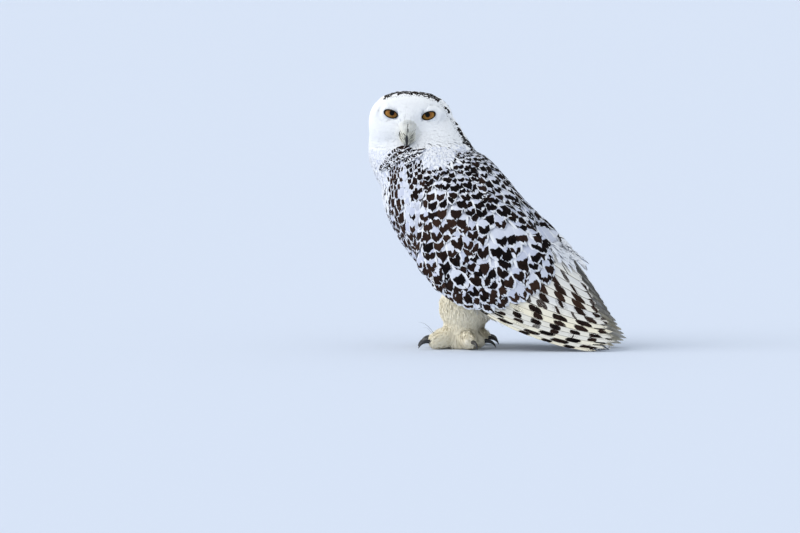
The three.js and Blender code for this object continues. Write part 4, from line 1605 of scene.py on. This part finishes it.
def on_throat(points, normals):
    """The white patch beside the collar, and the front of the throat."""
    u, w = broadside(points)
    patch = (np.abs(u + 72) < 23) & (np.abs(w - 318) < 11) & (points[..., 0] > 30)
    return patch | ((u < -153) & (w > 246) & (w < 330) & (points[..., 1] < -90))


def onto_coat(u, w, side):
    """Points of the coat at places of the broadside view of either side."""
    main, slight = BROADSIDE["y"], BROADSIDE["x"]
    right = np.array([-slight * side, main, 0.0])
    out = np.array([main * side, slight, BROADSIDE["ray"]])
    out /= np.linalg.norm(out)
    up = np.cross(right, out) * -side
    points = []
    for a, b in zip(u, w):
        start = right * a + up * b + out * 300
        place, _, _, _ = made["coat"].tree.ray_cast(start.tolist(), (-out).tolist())
        if place:
            points.append(place)
    return np.array(points)


def make_collar(name, material):
    """Dark-tipped feathers in rows round the throat."""
    rng = np.random.default_rng(77)
    tips = []
    for line in COLLAR:
        line = np.array(line, float)
        long = np.linalg.norm(np.diff(line, axis=0), axis=1)
        reach = np.concatenate([[0], np.cumsum(long)])
        t = np.arange(1.5, reach[-1], 3.0)
        t = t + rng.uniform(-0.8, 0.8, len(t))
        u, w = (np.interp(t, reach, line[:, k]) + rng.normal(0, 0.7, len(t)) for k in (0, 1))
        tips += [onto_coat(u, w, 1), onto_coat(u, w, -1)]
    tips = np.concatenate(tips)
    count = len(tips)
    _, normals, _, _ = made["coat"].nearest(tips)
    ways = turned(lie(tips, normals), normals, 0.15, rng)
    long, half = rng.uniform(13, 16, count), rng.uniform(5.0, 6.8, count)
    roots, _, _, _ = made["coat"].nearest(tips - ways * long[:, None])
    grid, shares, widths = laid_feathers(
        made["coat"], roots, ways, long, half, 8, 4, rng,
        sink=np.full(count, 3.0), lift=np.full(count, 3.2), cup=0.1, ragged=0.06, round_from=0.6,
    )
    ones = np.ones(count)
    traits = traits_of(ones, 0 * ones, 0.2 * ones, 0 * ones, 0.95 * ones, rng.uniform(1.1, 1.7, count), rng)
    mesh = feather_mesh(name, grid, widths, shares, long / half, traits, skin_places(roots))
    add_piece(name, mesh, material)


def covert_row(side, name, material, row, count, long, half, seed, raise_by):
    """One even row of coverts, whose tips lie at that row between the wrist and the covert tips."""
    rng = np.random.default_rng(seed)
    share = (np.arange(count) + 1.3 + rng.uniform(-0.2, 0.2, count)) / (count + 0.8)
    tips = wing_spot(share, row + rng.uniform(-0.012, 0.012, count))
    tips = on_wing(side, tips[:, 0], tips[:, 1], np.full(count, 3.0))
    _, normals, _, _ = made["coat"].nearest(tips)
    ways = turned(lie(tips, normals), normals, 0.06, rng)
    size = rng.uniform(0.93, 1.07, count)
    roots, _, _, _ = made["coat"].nearest(tips - ways * (long * size)[:, None])
    rows, columns = 9, 8
    grid, shares, widths = laid_feathers(
        made["coat"], roots, ways, long * size, half * size, rows, columns, rng,
        sink=np.full(count, 10.0), lift=np.full(count, raise_by), cup=0.1, ragged=0.03, round_from=0.72,
    )
    traits = coat_traits(grid[:, -2, columns // 2], half * size, rng, 0.8, 1.2)
    mesh = feather_mesh(name, grid, widths, shares, np.full(count, long / half), traits, skin_places(roots))
    add_piece(name, mesh, material)


def make_flights(side, name, material):
    """The wing's long feathers: secondaries under the coverts and the primaries along its lower edge."""
    look = bpy.context.scene.owl_wings
    rng = np.random.default_rng(501)
    count, rows, columns = look.feathers, 40, 12
    share = (np.arange(count) + 1) / (count + 1)
    v = np.linspace(0, 1, rows + 1)
    u = np.linspace(-1, 1, columns + 1)
    outer = np.arange(count) >= count - look.primaries
    widths = np.stack([vane_halves(v, r, 0.25) for r in np.where(outer, 0.72, 0.88)])
    short = rng.uniform(0.0, 0.03, count)[:, None, None]
    fringe = rng.normal(0, 0.006, (count, 1, columns + 1)) * ease(0.85, 1, v)[None, :, None]
    t = np.clip(v[None, :, None] * (1 - short) + fringe, 0, 1)
    split = (rng.random((count, rows + 1, 1)) < 0.05) * (np.abs(u) > 0.95) * 0.12
    out = u * widths[..., None] * (1 - split)
    place = share[:, None, None] + out / (count + 1)
    root, tip = spline(FLIGHT_ROOTS, place), spline(FLIGHT_TIPS, place)
    along = unit(tip - root)
    sag = mix(4, 28, place**2)[..., None] * np.stack([along[..., 1], -along[..., 0]], -1)
    middle = (root + tip) / 2 + sag
    t = t[..., None]
    flat = root * (1 - t) ** 2 + 2 * middle * t * (1 - t) + tip * t**2
    sink = 3 * np.maximum(0, 1 - v / 0.4) ** 2
    shaft = 0.4 * np.exp(-((u / 0.05) ** 2))[None, None] * ease(1, 0.9, v)[None, :, None]
    height = (out - 1) * 1.3 - sink[None, :, None] + shaft - 0.7 * u**2
    grid = on_wing(side, flat[..., 0], flat[..., 1], height)
    grid[..., 2] = np.maximum(grid[..., 2], 0.3)
    long = np.linalg.norm(grid[:, -1, columns // 2] - grid[:, 0, columns // 2], axis=-1)
    half = np.linalg.norm(grid[:, rows // 2, -1] - grid[:, rows // 2, 0], axis=-1) / 2
    ones = np.ones(count)
    step = np.where(outer, look.primary_step, look.secondary_step) * rng.uniform(0.9, 1.1, count)
    bars = np.where(outer, 0.52, mix(0.1, 0.58, ease(0.05, 0.28, share)))
    cream = np.where(outer, 0.95, 0.5) * rng.uniform(0.7, 1.2, count)
    tone, wide = np.where(outer, 0.15, 0.35), np.where(outer, 0.85, 0.95)
    traits = traits_of(0 * ones, bars, tone, cream, wide, step, rng)
    traits["form"][:, 2] = np.where(outer, traits["form"][:, 2], 0.2 + 0.25 * traits["form"][:, 2])
    patch = skin_places(grid[:, 0, columns // 2])
    mesh = feather_mesh(name, grid, widths, v, long / half, traits, patch)
    add_piece(name, mesh, material)


def on_tail(x, s, n):
    """Points x aside, s along and n above the tail's plane, none below the floor."""
    c, k = math.cos(TAIL["slope"]), math.sin(TAIL["slope"])
    z = TAIL["z"] - s * k + n * c
    return np.stack([x, TAIL["y"] + s * c + n * k, np.maximum(z, 0.4)], -1)


def make_tail(name, material):
    """The tail's feathers in pairs: the middle pair on top, each further pair below and outside."""
    rng = np.random.default_rng(601)
    rows, columns = 30, 12
    v = np.linspace(0, 1, rows + 1)[:, None]
    u = np.linspace(-1, 1, columns + 1)[None]
    widths = vane_halves(v[:, 0], 0.88, 0.3)
    grids = []
    for pair in range(TAIL["pairs"]):
        for side in (1, -1):
            depth = (0 if side > 0 else 1) if pair == 0 else pair + 1
            middle = side * mix(8 + 3 * pair if pair else 2, 6 + 7.6 * pair, v)
            x = middle + u * TAIL["half"] * widths[:, None]
            shaft = 0.4 * np.exp(-((u / 0.05) ** 2)) * ease(1, 0.9, v)
            n = -depth * 1.4 - 0.0016 * x**2 + shaft
            fringe = rng.normal(0, 0.006, (1, columns + 1)) * ease(0.85, 1, v)
            grids.append(on_tail(x, (TAIL["long"] - 2.5 * pair) * (v + fringe), n))
    grid = np.stack(grids)
    count = len(grid)
    ones = np.ones(count)
    traits = traits_of(0 * ones, 0.24 * ones, 0.6 * ones, 0.12 * ones, 0.9 * ones, 2.4 * ones, rng)
    traits["form"][:, 2] = 0.3 + 0.2 * traits["form"][:, 2]
    patch = skin_places(grid[:, 0, columns // 2])
    mesh = feather_mesh(name, grid, widths, v[:, 0], ones * TAIL["long"] / TAIL["half"], traits, patch)
    add_piece(name, mesh, material)


# ---------- the stage ----------


def aim_camera():
    """The camera looks at the bird's left side from a little behind, nearly level, from far off."""
    look = bpy.context.scene.owl_stage
    azimuth, rise, far = look.azimuth, look.rise, look.distance
    back = np.array([math.sin(azimuth) * math.cos(rise), -math.cos(azimuth) * math.cos(rise), math.sin(rise)])
    right = np.array([math.cos(azimuth), math.sin(azimuth), 0])
    up = np.cross(back, right)
    target = right * VIEW_MIDDLE[0] + up * VIEW_MIDDLE[1]
    place = metres(target) + back * far
    data = bpy.data.cameras.new("camera")
    sensor = 36
    data.sensor_width = sensor
    data.lens = sensor * far / look.width
    data.clip_end = 6000
    camera = linked("camera", data)
    turn = Matrix((right, up, back)).transposed()
    camera.matrix_world = Matrix.Translation(Vector(place)) @ turn.to_4x4()
    bpy.context.scene.camera = camera


def add_sun(name, direction, strength, spread, color):
    """A wide soft light from that direction."""
    data = bpy.data.lights.new(name, "SUN")
    data.energy = strength
    data.angle = spread
    data.color = color
    light = linked(name, data)
    light.location = Vector(direction) * 4
    light.rotation_euler = Vector(direction).to_track_quat("Z", "Y").to_euler()


def make_floor(color):
    """A plain floor that reaches the horizon, as a disc in rings of those radii in metres."""
    count = 64
    rings = [0.6, 2.0, 8.0, 60.0, 3000.0]
    a = np.linspace(0, 2 * math.pi, count, endpoint=False)
    points = [(0.0, 0.0, 0.0)]
    for ring in rings:
        points += [(ring * math.cos(x), ring * math.sin(x), 0.0) for x in a]
    faces = [(0, 1 + i, 1 + (i + 1) % count) for i in range(count)]
    for k in range(len(rings) - 1):
        start = 1 + k * count
        for i in range(count):
            j = (i + 1) % count
            faces.append((start + i, start + count + i, start + count + j, start + j))
    mesh = bpy.data.meshes.new("floor")
    mesh.from_pydata(points, [], faces)
    floor = linked("floor", mesh)
    material, t, shader = principled("Studio floor", 0.9, Specular_IOR_Level=0.1)
    coordinates = object_place(t)
    fine = t.grain(coordinates, 40.0, 4.0)
    t.feed(shader["Base Color"], t.blend(t.times(fine, 0.05), solid(color), (0.6, 0.64, 0.72, 1)))
    mesh.materials.append(material)


# ---------- settings ----------


def color_of(name, description, default):
    return FloatVectorProperty(
        name=name, description=description, default=default, subtype="COLOR", min=0, max=1,
    )


def number_of(name, description, default, low, high):
    return FloatProperty(name=name, description=description, default=default, min=low, max=high)


def count_of(name, description, default, low, high):
    return IntProperty(name=name, description=description, default=default, min=low, max=high)


def angle_of(name, description, degrees):
    return FloatProperty(
        name=name, description=description, default=degrees * DEG, subtype="ANGLE", unit="ROTATION",
    )


def length_of(name, description, default):
    return FloatProperty(
        name=name, description=description, default=default, subtype="DISTANCE", unit="LENGTH",
    )


class OWL_PG_plumage(bpy.types.PropertyGroup):
    white: color_of("White", "Edges of the white feathers", (0.90, 0.91, 0.93))
    face: color_of("Face", "Feathers of the head", (0.97, 0.975, 0.98))
    # The colour of the painted shade in the middle of each white feather.
    painted_shade: color_of("Shade", "Middle of the white feathers", (0.58, 0.61, 0.73))
    cream: color_of("Cream", "Legs and stained feathers", (1.0, 0.92, 0.72))
    black: color_of("Black", "Darkest marks", (0.0045, 0.0033, 0.0036))
    brown: color_of("Brown", "Marks faded to brown", (0.058, 0.030, 0.020))
    browning: number_of("Browning", "How much the marks fade to brown", 1.0, 0, 2)
    spot_width: number_of("Spot Width", "Half width of a spot, in half widths of the feather", 0.86, 0.1, 1)
    spot_height: number_of("Spot Height", "Height of a spot, in half widths of the feather", 1.35, 0.1, 2)
    spacing: number_of("Spacing", "Scale of the gaps between feathers", 1.0, 0.6, 2)


class OWL_PG_head(bpy.types.PropertyGroup):
    iris_inner: color_of("Iris by the Pupil", "Colour of the iris round the pupil", (0.26, 0.095, 0.02))
    iris_outer: color_of("Iris", "Colour of the rest of the iris", (0.44, 0.21, 0.045))
    pupil: number_of("Pupil", "Half angle of the pupil, in degrees", 17.5, 5, 35)
    bristle: color_of("Bristles", "Colour of the bristles over the bill", (0.85, 0.835, 0.73))
    bristles: count_of("Bristle Count", "Number of bristles over the bill", 3000, 50, 9000)
    horn: color_of("Bill", "Colour of the bill", (0.03, 0.031, 0.036))


class OWL_PG_wings(bpy.types.PropertyGroup):
    feathers: count_of("Long Feathers", "Long feathers of each wing", 14, 8, 30)
    primaries: count_of("Primaries", "How many of them are primaries", 7, 3, 12)
    primary_step: number_of("Primary Bars", "Distance between bars, in half widths", 3.9, 0.5, 9)
    secondary_step: number_of("Secondary Bars", "Distance between bars, in half widths", 2.3, 0.5, 9)


class OWL_PG_stage(bpy.types.PropertyGroup):
    floor: color_of("Floor", "Colour of the floor", (0.65, 0.705, 0.815))
    sky: color_of("Sky", "Colour of the light from all round", (0.88, 0.94, 1.0))
    sky_strength: number_of("Sky Strength", "Light from all round", 0.87, 0, 10)
    key_strength: number_of("Key Strength", "Soft light from one side", 1.66, 0, 10)
    spread: angle_of("Key Spread", "Softness of the key light", 50)
    azimuth: angle_of("Azimuth", "Where the camera stands round the bird", 105)
    rise: angle_of("Elevation", "How far the camera looks down", 3)
    distance: length_of("Distance", "Distance of the camera", 9.0)
    width: length_of("View Width", "Width of the view at the bird", 1.32)


# ---------- operators ----------


def need(*keys):
    """Stop the step if what it builds on is missing."""
    for key in keys:
        if key not in made:
            raise RuntimeError("Make the skin first")


class OWL_OT_stage(bpy.types.Operator):
    """Set up the floor, the light and the camera"""

    bl_idname = "owl.stage"
    bl_label = "Stage"

    def execute(self, context):
        look = context.scene.owl_stage
        scene = context.scene
        aim_camera()
        make_floor(look.floor)
        world = bpy.data.worlds.new("sky")
        world.use_nodes = True
        background = world.node_tree.nodes["Background"].inputs
        background[0].default_value = solid(look.sky)
        background[1].default_value = look.sky_strength
        scene.world = world
        add_sun("key", KEY_LIGHT, look.key_strength, look.spread, (1.0, 0.985, 0.96))
        scene.view_settings.view_transform = "Standard"
        scene.view_settings.look = "None"
        return {"FINISHED"}


class OWL_OT_shaders(bpy.types.Operator):
    """Build the shader groups that all feathers share"""

    bl_idname = "owl.shaders"
    bl_label = "Shader Groups"

    def execute(self, context):
        build_markings()
        build_barbs()
        build_white()
        return {"FINISHED"}


class OWL_OT_skin(bpy.types.Operator):
    """Make the skin that lies under the plumage"""

    bl_idname = "owl.skin"
    bl_label = "Skin"

    def execute(self, context):
        make_skin()
        return {"FINISHED"}


class OWL_OT_eyes(bpy.types.Operator):
    """Make the eyeballs, lids and brows"""

    bl_idname = "owl.eyes"
    bl_label = "Eyes and Lids"

    def execute(self, context):
        need("skin")
        eye = eye_material()
        bare = rim_material()
        face = feather_material("Owl face plumage", 0.1, white=context.scene.owl_plumage.face)
        for side, word in ((1, "right"), (-1, "left")):
            make_eye(side, "eyeball_" + word, "eye_" + word, eye)
            make_lids(side, "lids_" + word, face, bare)
            make_brow(side, "brow_" + word, face)
        return {"FINISHED"}


class OWL_OT_bill(bpy.types.Operator):
    """Make the bill and the bristles that cover it"""

    bl_idname = "owl.bill"
    bl_label = "Bill and Bristles"

    def execute(self, context):
        need("skin")
        horn = context.scene.owl_head.horn
        make_bill(horn_material("Owl bill horn", (0.010, 0.010, 0.012, 1), solid(horn), 0.32))
        make_bristles("bristles", bristle_material())
        return {"FINISHED"}


class OWL_OT_claws(bpy.types.Operator):
    """Make the eight claws"""

    bl_idname = "owl.claws"
    bl_label = "Claws"

    def execute(self, context):
        material = horn_material("Owl claw horn", (0.008, 0.008, 0.009, 1), (0.016, 0.015, 0.016, 1), 0.4)
        for side in LEGS:
            for k in range(1, CLAWS + 1):
                make_claw(f"claw_{side}_{k}", material)
        return {"FINISHED"}


class OWL_OT_head_coat(bpy.types.Operator):
    """Cover the face and the crown with fine short feathers"""

    bl_idname = "owl.head_coat"
    bl_label = "Head Plumage"

    def execute(self, context):
        need("coat")
        look = context.scene.owl_plumage
        face = feather_material("Owl face plumage", 0.1, white=look.face)
        make_coat(
            "coat_face", face, on_face, 12, rows=4, columns=2, long=4.2, half=0.58,
            sink=0.9, lift=0.01, cup=0.03, ragged=0.06, dense=0.7, round_from=0.3,
        )
        make_coat(
            "coat_crown", face, on_crown, 13, rows=7, columns=4, long=2.2, half=0.5,
            sink=0.9, lift=0.08, cup=0.1, ragged=0.05, dense=0.56, width=1.0, height=2.4,
        )
        return {"FINISHED"}


class OWL_OT_body_coat(bpy.types.Operator):
    """Cover the body and the upper wings with contour feathers"""

    bl_idname = "owl.body_coat"
    bl_label = "Body Plumage"

    def execute(self, context):
        need("coat")
        look = context.scene.owl_plumage
        plumage = feather_material("Owl plumage", 1.0)
        for word, side, seed in (("left", 1, 21), ("right", -1, 22)):

            def keep(points, normals, side=side):
                return on_body(points, normals) & (points[..., 0] * side >= 0)

            make_coat(
                "coat_" + word, plumage, keep, seed, rows=9, columns=6, long=2.7,
                half=0.66, sink=0.9, lift=0.05, cup=0.08, ragged=0.04, dense=0.69, width=look.spot_width,
                height=look.spot_height, even=4, stop_at=above_covert_tips,
            )
        make_collar("collar", plumage)
        white = feather_material("Owl down plumage", 0.35, white=look.face)
        make_coat(
            "fluff_rump", white, on_rump, 31, rows=7, columns=2, long=1.8, half=0.26,
            sink=0.4, lift=0.14, cup=0.2, ragged=0.05, dense=0.28, bear=0, loose=0.25, round_from=0.2,
        )
        make_coat(
            "fluff_throat", white, on_throat, 32, rows=6, columns=2, long=2.6, half=0.34,
            sink=0.4, lift=0.12, cup=0.15, ragged=0.05, dense=0.42, bear=0, loose=0.2, round_from=0.3,
        )
        return {"FINISHED"}


class OWL_OT_wings(bpy.types.Operator):
    """Make the wings' long feathers and the last rows of their coverts"""

    bl_idname = "owl.wings"
    bl_label = "Wings"

    def execute(self, context):
        need("coat")
        plumage = feather_material("Owl plumage", 1.0)
        quills = feather_material("Owl quills", 0.75, edge=0.75)
        for side, word in ((1, "left"), (-1, "right")):
            make_flights(side, "flights_" + word, quills)
            covert_row(side, "coverts_long_" + word, plumage, 0.88, 13, 58.0, 12.5, 700, 0.8)
            covert_row(side, "coverts_short_" + word, plumage, 0.78, 14, 46.0, 11.5, 701, 1.6)
        return {"FINISHED"}


class OWL_OT_tail(bpy.types.Operator):
    """Make the tail's twelve feathers"""

    bl_idname = "owl.tail"
    bl_label = "Tail"

    def execute(self, context):
        need("skin")
        make_tail("tail_feathers", feather_material("Owl quills", 0.75, edge=0.75))
        return {"FINISHED"}


class OWL_OT_leg_coat(bpy.types.Operator):
    """Cover the legs and toes with hair-like feathers"""

    bl_idname = "owl.leg_coat"
    bl_label = "Leg Plumage"

    def execute(self, context):
        need("coat")
        make_toe_hair("toe_hair", bristle_material())
        material = feather_material("Owl leg plumage", 0.0, white=(0.98, 0.94, 0.84))
        for word, side, seed in (("left", 1, 41), ("right", -1, 42)):

            def keep(points, normals, side=side):
                return on_leg(points, normals) & (points[..., 0] * side > 0)

            make_coat(
                "coat_leg_" + word, material, keep, seed, rows=5, columns=2, long=3.8,
                half=0.17, sink=0.6, lift=0.45, cup=0.2, ragged=0.05, dense=0.39, loose=0.28, round_from=0.2,
            )
        return {"FINISHED"}


OPERATORS = (
    OWL_OT_stage,
    OWL_OT_shaders,
    OWL_OT_skin,
    OWL_OT_eyes,
    OWL_OT_bill,
    OWL_OT_claws,
    OWL_OT_head_coat,
    OWL_OT_body_coat,
    OWL_OT_wings,
    OWL_OT_tail,
    OWL_OT_leg_coat,
)
SETTINGS = {
    "owl_plumage": OWL_PG_plumage,
    "owl_head": OWL_PG_head,
    "owl_wings": OWL_PG_wings,
    "owl_stage": OWL_PG_stage,
}


class OWL_PT_panel(bpy.types.Panel):
    """Settings and steps of the owl"""

    bl_label = "Snowy Owl"
    bl_space_type = "VIEW_3D"
    bl_region_type = "UI"
    bl_category = "Snowy Owl"

    def draw(self, context):
        for key, group in SETTINGS.items():
            box = self.layout.box()
            for setting in group.__annotations__:
                box.prop(getattr(context.scene, key), setting)
        for operator in OPERATORS:
            self.layout.operator(operator.bl_idname)


def register():
    for cls in (*SETTINGS.values(), *OPERATORS, OWL_PT_panel):
        bpy.utils.register_class(cls)
    for key, group in SETTINGS.items():
        setattr(bpy.types.Scene, key, PointerProperty(type=group))


def unregister():
    for key in SETTINGS:
        delattr(bpy.types.Scene, key)
    for cls in reversed((*SETTINGS.values(), *OPERATORS, OWL_PT_panel)):
        bpy.utils.unregister_class(cls)


def main():
    register()
    for operator in OPERATORS:
        name = operator.bl_idname.split(".")[1]
        if getattr(bpy.ops.owl, name)() != {"FINISHED"}:
            raise RuntimeError(operator.bl_label + " did not finish")
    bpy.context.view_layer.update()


if __name__ == "__main__":
    main()
